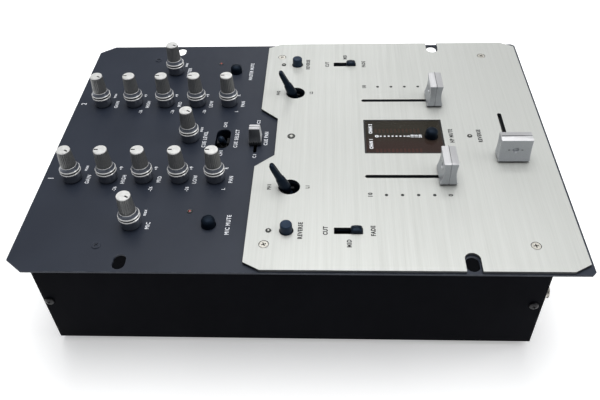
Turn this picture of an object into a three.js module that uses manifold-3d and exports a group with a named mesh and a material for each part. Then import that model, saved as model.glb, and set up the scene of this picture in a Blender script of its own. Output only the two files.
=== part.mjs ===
// A two-channel DJ mixer for a desk or a flight case.
// Millimetres. +X is the user's right, +Y is away from the user, +Z is up.
// The origin is the centre of the footprint, on the surface that the rubber feet stand on.
import * as THREE from "three";
import { mergeVertices } from "three/addons/utils/BufferGeometryUtils.js";
import Module from "manifold-3d";

const wasm = await Module();
wasm.setup();

// ---- Driving dimensions ----
const faceWidth = 254;
const faceLength = 355.6;
const plateThickness = 1.5;
const overlayThickness = 2;
const overlayLength = 206.6;
const caseHeight = 89.5;
const footHeight = 4;
const sheet = 1.2;
const sideInset = 15;
const frontInset = 17.8;
const rearInset = 7.3;
const seatGap = 0.1; // between pieces that are fastened together
const runGap = 0.3; // between pieces that move past each other

// Controls near a side keep their distance to that side's edge; the two channels keep theirs to the middle.
const channelX = 43.5;
const outerFromEdge = 39.5;
const reverseFromEdge = 32.8;
const toggleX = 54;

// Distances from the rear edge of the faceplate.
const knobRowsFromRear = { gain: 21.2, high: 46.1, mid: 71, low: 95.9, pan: 120.8 };
const outerKnobFromRear = 71.8;
const cueLevelFromRear = 96.8;
const muteFromRear = 121.8;
const rearScrewFromRear = 53.3;

// Distances from the front edge of the faceplate.
const toggleFromFront = 183.5;
const reverseLedFromFront = 194.8;
const modeSwitchFromFront = 144.5;
const faderTopFromFront = 129.5;
const meterFromFront = 75.1;
const phonesMuteFromFront = 83.3;
const crossfaderLedFromFront = 55.9;
const crossfaderFromFront = 30.6;
const frontScrewFromFront = 31.3;
const middleScrewFromOverlayRear = 11.9;

const knobHeight = 26.1;
const knobRadius = 7.1;
const knobShaftRadius = 3;
const knobShaftDepth = 12;
const muteRadius = 4.5;
const muteHeight = 6.3;
const reverseRadius = 3.85;
const reverseHeight = 6.2;
const buttonTravel = 1.8;
const switchHeight = 3.5;
const keyShoulderDepth = 2.5; // how far a key's full width goes down into its hole

const toggleHoleRadius = 7.25;
const toggleLength = 28.4;
const toggleLean = 23.5;
const pivotDepth = 4;
const leverBall = 2.6;
const pinRadius = 1;
const cueSelectHole = { length: 22, width: 10.5 };
const cueSelectLength = 13;
const cueSelectLean = 38;

const modeSwitch = { slotLength: 18, slotWidth: 5.4, capLength: 7.4, capHeight: 3 };
const cuePan = { slotLength: 32, slotWidth: 2.4, rest: -4 };
const cuePanCap = { base: 10.8, top: 5.6, width: 9, height: 14 };

const faderCap = { base: 12.2, waist: 8.4, top: 9.7, lift: 1.1, height: 18.4 };
const faderBlade = { thickness: 1.2, length: 5, depth: 9 };
const channelFader = { travel: 52, slotWidth: 3, capLength: 19.4 };
const crossfader = { travel: 48, slotWidth: 2.9, capLength: 21.4 };

const boardDepth = 14; // from the underside of the faceplate to the boards
const boardThickness = 1.6;
const housingDepth = 4; // from the underside of the faceplate to the pots, switches and tracks
const trackHeight = 12;

const meter = { width: 38, length: 56.2, rim: 1.2 };
const lightBar = { x: 11.5, width: 6, fromFront: 14.6, fromRear: 7.2 };
const ledRadius = 1.5;
const powerLedRadius = 2.5;
const ledDepth = 5;

const faceScrew = { headRadius: 2.9, shankRadius: 1.5, fromSide: 6.2 };
const faceSlot = { fromEdge: 8.1, fromEnd: 70.8, length: 12, radius: 4 };

const phonesSocket = { fromSide: 10, z: 48.5 };
const micSocketX = -78;
const jackBore = 3.3;
const jackNutRadius = 6;
const jackDepth = 26;
const socketRows = [41, 57];
const inputColumns = [-26, -8, 14, 32];
const outputColumns = [-62, -46];
const socketRadius = 4.2;
const powerModule = { x: 82, z: 49, width: 40, height: 20 };
const rocker = { width: 8.6, height: 14, throwAngle: 8 };

// ---- Levels and edges worked out from the driving dimensions ----
const plateBottom = footHeight + caseHeight;
const plateTop = plateBottom + plateThickness;
const overlayBottom = plateTop + seatGap;
const overlayTop = overlayBottom + overlayThickness;
const halfWidth = faceWidth / 2;
const halfLength = faceLength / 2;
const sideX = halfWidth - sideInset;
const frontY = -halfLength + frontInset;
const rearY = halfLength - rearInset;
const overlayFront = -halfLength + 2.2;
const overlayRear = overlayFront + overlayLength;
const caseTop = plateBottom - seatGap;
const innerFrontY = frontY + sheet + seatGap;
const innerRearY = rearY - sheet - seatGap;
const boardTop = plateBottom - boardDepth;
const housingTop = plateBottom - housingDepth;
const pivotZ = plateTop - pivotDepth;

const fromFront = (distance) => -halfLength + distance;
const fromRear = (distance) => halfLength - distance;
const outerX = halfWidth - outerFromEdge;
const reverseX = halfWidth - reverseFromEdge;
const outerKnobY = fromRear(outerKnobFromRear);
const cueLevelY = fromRear(cueLevelFromRear);
const muteY = fromRear(muteFromRear);
const muteLedY = muteY + 14;
const cueSelectY = muteY + 1;
const cuePanY = overlayRear + 1.5;
const toggleY = fromFront(toggleFromFront);
const modeSwitchY = fromFront(modeSwitchFromFront);
const phonesMuteY = fromFront(phonesMuteFromFront);
const crossfaderY = fromFront(crossfaderFromFront);
const meterFront = fromFront(meterFromFront);
const meterRear = meterFront + meter.length;

// ---- Shape helpers ----
const radians = THREE.MathUtils.degToRad;

/** A closed three.js geometry as a manifold solid. */
function solid(geometry) {
  const bare = geometry.clone();
  bare.deleteAttribute("normal");
  bare.deleteAttribute("uv");
  const merged = mergeVertices(bare, 1e-4);
  return new wasm.Manifold(
    new wasm.Mesh({
      numProp: 3,
      vertProperties: new Float32Array(merged.attributes.position.array),
      triVerts: new Uint32Array(merged.index.array),
    }),
  );
}

/** A manifold solid as a three.js geometry. */
function geometryOf(manifold) {
  const mesh = manifold.getMesh();
  const geometry = new THREE.BufferGeometry();
  geometry.setAttribute("position", new THREE.BufferAttribute(mesh.vertProperties, 3));
  geometry.setIndex(new THREE.BufferAttribute(mesh.triVerts, 1));
  geometry.computeVertexNormals();
  return geometry;
}

/** A box between two corners. */
function block([x0, y0, z0], [x1, y1, z1]) {
  const geometry = new THREE.BoxGeometry(x1 - x0, y1 - y0, z1 - z0);
  geometry.translate((x0 + x1) / 2, (y0 + y1) / 2, (z0 + z1) / 2);
  return solid(geometry);
}

/** A solid of revolution about the vertical line through (x, y); the profile is [radius, z] pairs. */
function turned(profile, x = 0, y = 0, segments = 16) {
  const points = profile.map(([radius, z]) => new THREE.Vector2(radius, z));
  const geometry = new THREE.LatheGeometry(points, segments);
  geometry.rotateX(Math.PI / 2);
  geometry.translate(x, y, 0);
  return solid(geometry);
}

/** An upright cylinder. */
function post(x, y, z0, z1, radius, segments = 12) {
  return turned([[0, z0], [radius, z0], [radius, z1], [0, z1]], x, y, segments);
}

/** A cylinder along Y, between two places on it. */
function rodAlongY(x, z, y0, y1, radius, segments = 12) {
  const geometry = new THREE.CylinderGeometry(radius, radius, y1 - y0, segments);
  geometry.translate(x, (y0 + y1) / 2, z);
  return solid(geometry);
}

/** A cylinder along X, centred at x = 0. */
function rodAlongX(length, radius, segments = 12) {
  const geometry = new THREE.CylinderGeometry(radius, radius, length, segments);
  geometry.rotateZ(Math.PI / 2);
  return solid(geometry);
}

/** An outline in the XY plane raised from z0 to z1. */
function raised(shape, z0, z1, curveSegments = 6) {
  const geometry = new THREE.ExtrudeGeometry(shape, { depth: z1 - z0, bevelEnabled: false, curveSegments });
  geometry.translate(0, 0, z0);
  return solid(geometry);
}

/** An outline of [y, z] points carried along X between x0 and x1. */
function carriedAlongX(points, x0, x1) {
  const shape = new THREE.Shape(points.map(([y, z]) => new THREE.Vector2(y, z)));
  const geometry = new THREE.ExtrudeGeometry(shape, { depth: x1 - x0, bevelEnabled: false });
  geometry.rotateY(Math.PI / 2);
  geometry.rotateX(Math.PI / 2);
  geometry.translate(x0, 0, 0);
  return solid(geometry);
}

/** An outline of [x, z] points carried along Y between y0 and y1. */
function carriedAlongY(points, y0, y1) {
  const shape = new THREE.Shape(points.map(([x, z]) => new THREE.Vector2(x, z)));
  const geometry = new THREE.ExtrudeGeometry(shape, { depth: y1 - y0, bevelEnabled: false });
  geometry.rotateX(Math.PI / 2);
  geometry.translate(0, y1, 0);
  return solid(geometry);
}

/** A slot with round ends, centred at (x, y), as an outline; length runs along X or along Y. */
function slotOutline(x, y, length, width, along) {
  const radius = width / 2;
  const reach = length / 2 - radius;
  const shape = new THREE.Shape();
  if (along === "x") {
    shape.absarc(x + reach, y, radius, -Math.PI / 2, Math.PI / 2, false);
    shape.absarc(x - reach, y, radius, Math.PI / 2, 1.5 * Math.PI, false);
  } else {
    shape.absarc(x, y + reach, radius, 0, Math.PI, false);
    shape.absarc(x, y - reach, radius, Math.PI, 2 * Math.PI, false);
  }
  return shape;
}

/** A rectangle with its corners cut off, as an outline. */
function chamferedOutline(x0, x1, y0, y1, frontCut, rearCut) {
  const points = [
    [x0 + frontCut[0], y0],
    [x1 - frontCut[0], y0],
    [x1, y0 + frontCut[1]],
    [x1, y1 - rearCut[1]],
    [x1 - rearCut[0], y1],
    [x0 + rearCut[0], y1],
    [x0, y1 - rearCut[1]],
    [x0, y0 + frontCut[1]],
  ];
  return new THREE.Shape(points.map(([x, y]) => new THREE.Vector2(x, y)));
}

// ---- Materials ----
const finishes = {
  blackSteel: { color: 0x101114, roughness: 0.45, metalness: 0.6 },
  slate: { color: 0x3c414c, roughness: 0.5, metalness: 0.4 },
  brushed: { color: 0xd6d8d2, roughness: 0.35, metalness: 0.9 },
  smoked: { color: 0x2a251c, roughness: 0.1, metalness: 0 },
  circuit: { color: 0x1d5a34, roughness: 0.6, metalness: 0.1 },
  zinc: { color: 0x9a9ca0, roughness: 0.4, metalness: 0.9 },
  nickel: { color: 0xb9bab8, roughness: 0.25, metalness: 1 },
  rubber: { color: 0x161616, roughness: 0.9, metalness: 0 },
  keyRubber: { color: 0x12141f, roughness: 0.6, metalness: 0 },
  knob: { color: 0x6d7076, roughness: 0.4, metalness: 0.5 },
  cap: { color: 0x9c9fa4, roughness: 0.35, metalness: 0.6 },
  blackPlastic: { color: 0x17181b, roughness: 0.4, metalness: 0 },
  redLens: { color: 0x7a1512, roughness: 0.15, metalness: 0 },
  clearLens: { color: 0xd9d6cc, roughness: 0.1, metalness: 0 },
};

const mixer = new THREE.Group();

/** Adds a named piece to the mixer. */
function add(name, manifold, finish) {
  const mesh = new THREE.Mesh(geometryOf(manifold), new THREE.MeshStandardMaterial(finishes[finish]));
  mesh.name = name;
  mixer.add(mesh);
  return mesh;
}

// ---- Where the controls sit ----
const channels = [
  { number: 1, side: -1 },
  { number: 2, side: 1 },
];

const knobSpots = [];
for (const { number, side } of channels) {
  for (const [row, distance] of Object.entries(knobRowsFromRear)) {
    const y = fromRear(distance);
    knobSpots.push({ name: `${row}_knob_${number}`, x: side * channelX, y, fromMinimum: row === "gain" });
  }
}
knobSpots.push({ name: "mic_knob", x: -outerX, y: outerKnobY, fromMinimum: true });
knobSpots.push({ name: "master_knob", x: outerX, y: outerKnobY, fromMinimum: true });
knobSpots.push({ name: "cue_level_knob", x: 0, y: cueLevelY, fromMinimum: true });

const muteSpots = [
  { name: "mic_mute_button", x: -outerX, y: muteY, surface: plateTop },
  { name: "master_mute_button", x: outerX, y: muteY, surface: plateTop },
  { name: "phones_mute_button", x: 0, y: phonesMuteY, surface: overlayTop },
];

const reverseSpots = channels.map(({ number, side }) => ({
  name: `reverse_button_${number}`,
  x: side * reverseX,
  y: toggleY,
}));

const leverSpots = [
  { x: -toggleX, y: toggleY, axis: "x" },
  { x: toggleX, y: toggleY, axis: "x" },
  { x: 0, y: cueSelectY, axis: "y" },
];

const muteLedSide = 12; // the light sits to the right of its key
const reverseLedY = fromFront(reverseLedFromFront);
const redOnPlate = { radius: ledRadius, surface: plateTop, finish: "redLens" };
const clearOnOverlay = { radius: ledRadius, surface: overlayTop, finish: "clearLens" };
const ledSpots = [
  { name: "mic_mute_led", x: -outerX + muteLedSide, y: muteLedY, ...redOnPlate },
  { name: "master_mute_led", x: outerX + muteLedSide, y: muteLedY, ...redOnPlate },
  { name: "reverse_led_1", x: -reverseX, y: reverseLedY, ...clearOnOverlay },
  { name: "reverse_led_2", x: reverseX, y: reverseLedY, ...clearOnOverlay },
  { name: "power_led", x: 0, y: toggleY + 1, ...clearOnOverlay, radius: powerLedRadius },
  { name: "crossfader_led", x: 0, y: fromFront(crossfaderLedFromFront), ...clearOnOverlay },
];

const screwX = sideX - faceScrew.fromSide;
const middleScrewY = overlayRear - middleScrewFromOverlayRear;
const screwSpots = [];
for (const { number, side } of channels) {
  const x = side * screwX;
  screwSpots.push({ name: `rear_screw_${number}`, x, y: fromRear(rearScrewFromRear), onOverlay: false });
  screwSpots.push({ name: `middle_screw_${number}`, x, y: middleScrewY, onOverlay: true });
  screwSpots.push({ name: `front_screw_${number}`, x, y: fromFront(frontScrewFromFront), onOverlay: true });
}

const faderRestY = fromFront(faderTopFromFront) - channelFader.travel;
const faderMidY = fromFront(faderTopFromFront) - channelFader.travel / 2;
const faderSlotLength = channelFader.travel + faderBlade.length + 2 * runGap;
const crossSlotLength = crossfader.travel + faderBlade.length + 2 * runGap;

/** A round hole as an outline. */
function roundHole(x, y, radius) {
  const shape = new THREE.Shape();
  shape.absarc(x, y, radius, 0, 2 * Math.PI, false);
  return shape;
}

/** The holes that the controls on the front half need in the overlay and in the faceplate below it. */
function sharedHoles() {
  const holes = [];
  for (const { side } of channels) {
    holes.push(roundHole(side * toggleX, toggleY, toggleHoleRadius));
    holes.push(modeSwitchSlot(side));
    holes.push(slotOutline(side * channelX, faderMidY, faderSlotLength, channelFader.slotWidth, "y"));
  }
  for (const { x, y } of reverseSpots) holes.push(roundHole(x, y, reverseRadius + 2 * runGap));
  holes.push(slotOutline(0, crossfaderY, crossSlotLength, crossfader.slotWidth, "x"));
  for (const { x, y, radius, surface } of ledSpots) {
    if (surface === overlayTop) holes.push(roundHole(x, y, radius + runGap));
  }
  return holes;
}

/** The slot of a mode switch, square at its ends like the actuator in it. */
function modeSwitchSlot(side) {
  const x = side * reverseX;
  const halfX = modeSwitch.slotWidth / 2;
  const halfY = modeSwitch.slotLength / 2;
  const corner = [0.2, 0.2];
  return chamferedOutline(x - halfX, x + halfX, modeSwitchY - halfY, modeSwitchY + halfY, corner, corner);
}

/** Cuts every outline through a plate between two levels. */
function cutThrough(plate, outlines, z0, z1) {
  let result = plate;
  for (const outline of outlines) {
    result = result.subtract(raised(outline, z0 - 1, z1 + 1));
  }
  return result;
}

// ---- Casework ----
const screwHole = faceScrew.shankRadius + runGap;
const faceSlotX = halfWidth - faceSlot.fromEdge;
const faceSlotY = halfLength - faceSlot.fromEnd;

function makeFaceplate() {
  const outline = chamferedOutline(-halfWidth, halfWidth, -halfLength, halfLength, [2.5, 2.5], [9, 11.5]);
  const holes = sharedHoles();
  for (const { x, y } of knobSpots) holes.push(roundHole(x, y, knobShaftRadius + runGap));
  for (const { x, y } of screwSpots) holes.push(roundHole(x, y, screwHole));
  for (const { x, y } of muteSpots.slice(0, 2)) holes.push(roundHole(x, y, muteRadius + runGap));
  for (const { x, y, radius, surface } of ledSpots) {
    if (surface === plateTop) holes.push(roundHole(x, y, radius + runGap));
  }
  for (const side of [-1, 1]) {
    for (const end of [-1, 1]) {
      const [x, y] = [side * faceSlotX, end * faceSlotY];
      holes.push(slotOutline(x, y, faceSlot.length, 2 * faceSlot.radius, "x"));
    }
  }
  holes.push(slotOutline(0, cueSelectY, cueSelectHole.length, cueSelectHole.width, "x"));
  holes.push(slotOutline(0, cuePanY, cuePan.slotLength, cuePan.slotWidth, "x"));
  holes.push(meterOpening(meter.rim));
  return cutThrough(raised(outline, plateBottom, plateTop), holes, plateBottom, plateTop);
}

/** The rectangle of the level meter, drawn in from its edge by the given margin. */
function meterOpening(margin) {
  const x = meter.width / 2 - margin;
  return chamferedOutline(-x, x, meterFront + margin, meterRear - margin, [0.8, 0.8], [0.8, 0.8]);
}

/** The brushed front plate, with a notch for the cue pan slider and a gutter at each front slot. */
function makeOverlay() {
  const edge = halfWidth - 0.7;
  const outline = chamferedOutline(-edge, edge, overlayFront, overlayRear, [6, 10.5], [6, 10.5]);
  const notch = { rearX: 33.2, frontX: 21, depth: 13.2 };
  const cut = new THREE.Shape();
  cut.moveTo(-notch.rearX, overlayRear + 1);
  cut.lineTo(-notch.rearX, overlayRear);
  cut.lineTo(-notch.frontX, overlayRear - notch.depth);
  cut.lineTo(notch.frontX, overlayRear - notch.depth);
  cut.lineTo(notch.rearX, overlayRear);
  cut.lineTo(notch.rearX, overlayRear + 1);
  const holes = [cut, meterOpening(-runGap), ...sharedHoles()];
  const gutterWidth = 2 * (faceSlot.radius + 0.7);
  const gutterLength = 2 * (faceSlot.fromEdge + faceSlot.length / 2 + 1);
  for (const side of [-1, 1]) {
    holes.push(slotOutline(side * halfWidth, -faceSlotY, gutterLength, gutterWidth, "x"));
  }
  for (const { x, y, onOverlay } of screwSpots) {
    if (onOverlay) holes.push(roundHole(x, y, faceScrew.headRadius + runGap));
  }
  return cutThrough(raised(outline, overlayBottom, overlayTop), holes, overlayBottom, overlayTop);
}

/** The folded base: a floor, two sides and a lip along the top of each side for the faceplate's screws. */
function makeBaseCover() {
  const lip = faceScrew.fromSide + faceScrew.shankRadius + 2;
  const inner = sideX - sheet;
  const outline = [
    [-sideX, footHeight],
    [sideX, footHeight],
    [sideX, caseTop],
    [sideX - lip, caseTop],
    [sideX - lip, caseTop - sheet],
    [inner, caseTop - sheet],
    [inner, footHeight + sheet],
    [-inner, footHeight + sheet],
    [-inner, caseTop - sheet],
    [-sideX + lip, caseTop - sheet],
    [-sideX + lip, caseTop],
    [-sideX, caseTop],
  ];
  let cover = carriedAlongY(outline, innerFrontY, innerRearY);
  for (const { x, y } of screwSpots) {
    cover = cover.subtract(post(x, y, caseTop - sheet - 1, caseTop + 1, screwHole));
  }
  return cover;
}

const phonesX = -sideX + phonesSocket.fromSide;
const neckRadius = jackBore + 1.4;

function makeFrontPanel() {
  const panel = block([-sideX, frontY, footHeight], [sideX, frontY + sheet, caseTop]);
  const { z } = phonesSocket;
  return panel.subtract(rodAlongY(phonesX, z, frontY - 1, frontY + sheet + 1, neckRadius + runGap));
}

function makeRearPanel() {
  let panel = block([-sideX, rearY - sheet, footHeight], [sideX, rearY, caseTop]);
  const drill = (x, z, radius) => {
    panel = panel.subtract(rodAlongY(x, z, rearY - sheet - 1, rearY + 1, radius));
  };
  drill(micSocketX, phonesSocket.z, neckRadius + runGap);
  for (const x of [...inputColumns, ...outputColumns]) {
    for (const z of socketRows) drill(x, z, socketRadius + runGap);
  }
  const { x, z, width, height } = powerModule;
  const windowX = width / 2 - 2;
  const windowZ = height / 2 - 2;
  return panel.subtract(
    block([x - windowX, rearY - sheet - 1, z - windowZ], [x + windowX, rearY + 1, z + windowZ]),
  );
}

function makeFoot(side, end) {
  const x = side * (sideX - 16);
  const y = end < 0 ? frontY + 18 : rearY - 18;
  return turned([[0, 0], [7.5, 0], [9, footHeight - seatGap], [0, footHeight - seatGap]], x, y);
}

function makeScrew({ x, y, onOverlay }) {
  const { headRadius, shankRadius } = faceScrew;
  const tip = caseTop - sheet - 3;
  const seat = plateTop + seatGap;
  const top = onOverlay ? overlayTop : seat + 0.4;
  const rim = top - 0.1;
  const profile = [
    [0, tip],
    [shankRadius, tip],
    [shankRadius, seat],
    [headRadius, seat],
    [headRadius, rim],
    [headRadius - 0.2, top],
    [0, top],
  ];
  return turned(profile, x, y, 12);
}

// ---- Boards, housings and tracks ----

/** The control board with the pots and switch housings that are soldered to it. */
function makeControlBoard() {
  const top = boardTop;
  const halfX = outerX + 13;
  const [front, rear] = [toggleY - 12, fromRear(11)];
  let board = block([-halfX, front, top - boardThickness], [halfX, rear, top]);
  const shaftEnd = plateTop - knobShaftDepth;
  for (const { x, y } of knobSpots) {
    const pot = block([x - 4.9, y - 4.9, top], [x + 4.9, y + 4.9, housingTop]);
    const bore = post(x, y, shaftEnd - 0.6, housingTop + 1, knobShaftRadius + runGap);
    board = board.add(pot.subtract(bore));
  }
  for (const { x, y } of [...muteSpots.slice(0, 2), ...reverseSpots]) {
    board = board.add(block([x - 3, y - 3, top], [x + 3, y + 3, top + switchHeight]));
  }
  for (const lever of leverSpots) board = board.add(makeYoke(lever, top));
  const reach = cuePan.slotLength / 2 + 3;
  const housing = block([-reach, cuePanY - 4, top], [reach, cuePanY + 4, housingTop]);
  const groove = block([-reach + 2, cuePanY - 1.2, top + 2], [reach - 2, cuePanY + 1.2, housingTop + 1]);
  return board.add(housing.subtract(groove));
}

/** The fork that a lever's pivot pin turns in; the pin lies along the lever's own axis. */
function makeYoke({ x, y, axis }, top) {
  const cheek = 1.6;
  const inside = leverBall + runGap;
  const outside = inside + cheek;
  const depth = leverBall + 0.4;
  const cheeks = block([-outside, -depth, top], [outside, depth, pivotZ + 2]);
  const gap = block([-inside, -depth - 1, pivotZ - leverBall - 1.5], [inside, depth + 1, pivotZ + 3]);
  const pinHole = rodAlongX(2 * outside + 2, pinRadius + runGap).translate(0, 0, pivotZ);
  const yoke = cheeks.subtract(gap).subtract(pinHole);
  return yoke.rotate(0, 0, axis === "x" ? 0 : 90).translate(x, y, 0);
}

/** The front board: the meter's light bars, the mode switches and the headphone mute switch. */
function makeMeterBoard() {
  const top = boardTop;
  const halfX = reverseX + 10;
  const [front, rear] = [crossfaderY + 19, toggleY - 13];
  let board = block([-halfX, front, top - boardThickness], [halfX, rear, top]);
  for (const { side } of channels) {
    const x = side * channelX;
    const halfY = channelFader.travel / 2 + 10;
    board = board.subtract(block([x - 8, faderMidY - halfY, top - 5], [x + 8, faderMidY + halfY, top + 5]));
    board = board.add(makeModeSwitchCan(side * reverseX, top));
    board = board.add(makeLightBar(side * lightBar.x, top));
  }
  return board.add(block([-3, phonesMuteY - 3, top], [3, phonesMuteY + 3, top + switchHeight]));
}

/** A bar of light segments under the meter's window. */
function makeLightBar(x, top) {
  const halfX = lightBar.width / 2;
  const [front, rear] = [meterFront + lightBar.fromFront, meterRear - lightBar.fromRear];
  return block([x - halfX, front, top], [x + halfX, rear, plateBottom - 1]);
}

/** A slide switch's can, with a groove for the actuator's stem. */
function makeModeSwitchCan(x, top) {
  const reach = modeSwitch.slotLength / 2 + 2;
  const can = block([x - 4.5, modeSwitchY - reach, top], [x + 4.5, modeSwitchY + reach, housingTop]);
  const end = reach - 1.5;
  const grooveX = 2.3;
  const [low, high] = [top + 2, housingTop + 1];
  return can.subtract(block([x - grooveX, modeSwitchY - end, low], [x + grooveX, modeSwitchY + end, high]));
}

/** A fader's track: a can with a groove that the blade runs in. */
function makeTrack(x, y, travel, along) {
  const half = travel / 2 + faderBlade.length / 2;
  const bottom = housingTop - trackHeight;
  const floor = plateTop - faderBlade.depth - 1;
  const can = block([-6, -half - 5, bottom], [6, half + 5, housingTop]);
  const groove = block([-1.1, -half - 1, floor], [1.1, half + 1, housingTop + 1]);
  return can
    .subtract(groove)
    .rotate(0, 0, along === "x" ? 90 : 0)
    .translate(x, y, 0);
}

function makeMeterWindow() {
  const lens = raised(meterOpening(0), overlayBottom, overlayTop - 0.2);
  return lens.subtract(post(0, phonesMuteY, overlayBottom - 1, overlayTop + 1, muteRadius + runGap, 16));
}

function makeLed({ x, y, radius, surface }) {
  const bottom = plateTop - ledDepth;
  const profile = [
    [0, bottom],
    [radius, bottom],
    [radius, surface + 0.3],
    [radius * 0.7, surface + 1],
    [0, surface + 1.2],
  ];
  return turned(profile, x, y, 12);
}

// ---- Controls ----

/** A pot's knob with its shaft: a skirt, a collar, a shoulder and a tapered grip with a pointer notch. */
function makeKnob() {
  const profile = [
    [0, -knobShaftDepth],
    [knobShaftRadius, -knobShaftDepth],
    [knobShaftRadius, 0.4],
    [knobRadius - 0.7, 0.4],
    [knobRadius - 0.3, 7],
    [knobRadius, 8],
    [knobRadius, 10.6],
    [knobRadius - 1.6, 13],
    [knobRadius - 2.6, knobHeight],
    [0, knobHeight],
  ];
  const notch = block([-0.5, 1.2, knobHeight - 0.8], [0.5, knobRadius, knobHeight + 1]);
  return turned(profile).subtract(notch);
}

// A key's plunger ends above its switch by the key's travel and a little more.
const plungerEnd = boardTop + switchHeight + buttonTravel + runGap - plateTop;

/** A rubber key that pushes straight down on the switch below it. */
function makeMuteButton(surface) {
  const top = surface - plateTop + muteHeight;
  return turned([
    [0, plungerEnd],
    [2, plungerEnd],
    [2, -keyShoulderDepth],
    [muteRadius, -keyShoulderDepth],
    [muteRadius, top - 3.7],
    [muteRadius - 0.5, top - 1.2],
    [muteRadius - 1.4, top - 0.2],
    [0, top],
  ]);
}

/** A hard key with a flat top, for the reverse switches. */
function makeReverseButton() {
  const top = overlayTop - plateTop + reverseHeight;
  return turned([
    [0, plungerEnd],
    [1.8, plungerEnd],
    [1.8, -keyShoulderDepth],
    [reverseRadius, -keyShoulderDepth],
    [reverseRadius, top - 0.5],
    [reverseRadius - 0.5, top],
    [0, top],
  ]);
}

const leverSegments = 12;

/** The pivot end that every lever has: a ball on a cross pin. */
function leverRoot() {
  const ball = solid(new THREE.SphereGeometry(leverBall, 12, 8));
  return ball.add(rodAlongX(2 * (leverBall + runGap + 1.2), pinRadius, 8));
}

/** The long lever of a transform switch: a tapered stem and a flat paddle. */
function makeToggle() {
  const shoulder = toggleLength * 0.56;
  const profile = [
    [0, 0],
    [1.8, 0],
    [2.4, 4],
    [3.9, 7],
    [3.9, 8.5],
    [3.1, shoulder - 2],
    [2.2, shoulder],
    [0, shoulder],
  ];
  const paddle = carriedAlongX(
    [
      [-2, shoulder - 3],
      [2.6, shoulder - 3],
      [1.7, toggleLength - 0.8],
      [0.9, toggleLength],
      [-0.9, toggleLength],
      [-1.7, toggleLength - 0.8],
    ],
    -2.6,
    2.6,
  );
  return leverRoot().add(turned(profile, 0, 0, leverSegments)).add(paddle);
}

/** The short lever of the cue select switch, with a rounded tip. */
function makeCueSelect() {
  const tip = cueSelectLength;
  const profile = [
    [0, 0],
    [1.6, 0],
    [1.8, tip - 5],
    [2.5, tip - 3],
    [2.5, tip - 1.4],
    [1.7, tip - 0.3],
    [0, tip],
  ];
  return leverRoot().add(turned(profile, 0, 0, leverSegments));
}

/** The domed actuator of a slide switch. */
function makeModeCap() {
  const half = modeSwitch.capLength / 2;
  const top = overlayTop - plateTop + modeSwitch.capHeight;
  const outline = [
    [-half, -3],
    [half, -3],
    [half, top - 1.4],
    [half - 1, top - 0.4],
    [half - 2.2, top],
    [-half + 2.2, top],
    [-half + 1, top - 0.4],
    [-half, top - 1.4],
  ];
  const reach = modeSwitch.slotWidth / 2 - runGap;
  const stem = block([-1.6, -2.4, boardTop + 2.5 - plateTop], [1.6, 2.4, -2]);
  return carriedAlongX(outline, -reach, reach).add(stem);
}

/** A cap with a ridge along its top and waisted sides, on a blade; the ridge lies along X. */
function makeFaderCap(length) {
  const { base, waist, top, lift, height } = faderCap;
  const low = overlayTop - plateTop + lift;
  const high = low + height;
  const outline = [
    [-base / 2, low],
    [base / 2, low],
    [base / 2, low + 1.6],
    [waist / 2 + 0.5, low + height * 0.4],
    [waist / 2, low + height * 0.6],
    [top / 2, high - 0.8],
    [0, high],
    [-top / 2, high - 0.8],
    [-waist / 2, low + height * 0.6],
    [-waist / 2 - 0.5, low + height * 0.4],
    [-base / 2, low + 1.6],
  ];
  const body = carriedAlongX(outline, -length / 2, length / 2);
  return body.add(makeBlade(low + 1));
}

/** The blade that carries a fader's cap through its slot; its length runs along the slot. */
function makeBlade(top) {
  const { thickness, length, depth } = faderBlade;
  return block([-thickness / 2, -length / 2, -depth], [thickness / 2, length / 2, top]);
}

/** The slim cap of the cue pan slider, which travels along X. */
function makeCuePanCap() {
  const { base, top, width, height } = cuePanCap;
  const outline = [
    [-base / 2, 1.2],
    [base / 2, 1.2],
    [base / 2 - 0.8, 4],
    [top / 2, height - 0.4],
    [top / 2 - 0.4, height],
    [-top / 2 + 0.4, height],
    [-top / 2, height - 0.4],
    [-base / 2 + 0.8, 4],
  ];
  const body = carriedAlongY(outline, -width / 2, width / 2);
  return body.add(block([-2, -0.7, -8], [2, 0.7, 2]));
}

// ---- Sockets ----

/** A quarter-inch socket: a body inside the case, a threaded neck through the panel and a nut outside. */
function makeJack(x, z, panelFace, outward) {
  const at = (distance) => panelFace + outward * distance;
  const span = (from, to) => [Math.min(at(from), at(to)), Math.max(at(from), at(to))];
  const [bodyLow, bodyHigh] = span(-sheet - seatGap - jackDepth, -sheet - seatGap);
  const [neckLow, neckHigh] = span(-sheet - 1, 5.2);
  const [nutLow, nutHigh] = span(seatGap, 2.6);
  const [boreLow, boreHigh] = span(-jackDepth + 1, 7);
  const body = block([x - 7, bodyLow, z - 7], [x + 7, bodyHigh, z + 7]);
  return body
    .add(rodAlongY(x, z, neckLow, neckHigh, neckRadius))
    .add(rodAlongY(x, z, nutLow, nutHigh, jackNutRadius, 12))
    .subtract(rodAlongY(x, z, boreLow, boreHigh, jackBore));
}

/** A moulded block of phono sockets behind the rear panel, with its barrels through it. */
function makeSocketBlock(columns) {
  const left = Math.min(...columns) - 8;
  const right = Math.max(...columns) + 8;
  const [low, high] = [socketRows[0] - 8, socketRows[1] + 8];
  const face = rearY - sheet - seatGap;
  let moulding = block([left, face - 11, low], [right, face, high]);
  for (const x of columns) {
    for (const z of socketRows) {
      moulding = moulding
        .add(rodAlongY(x, z, face - 1, halfLength - 0.4, socketRadius))
        .subtract(rodAlongY(x, z, face - 3, halfLength + 1, 1.6, 8));
    }
  }
  return moulding;
}

const rockerX = powerModule.x + 9;

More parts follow.
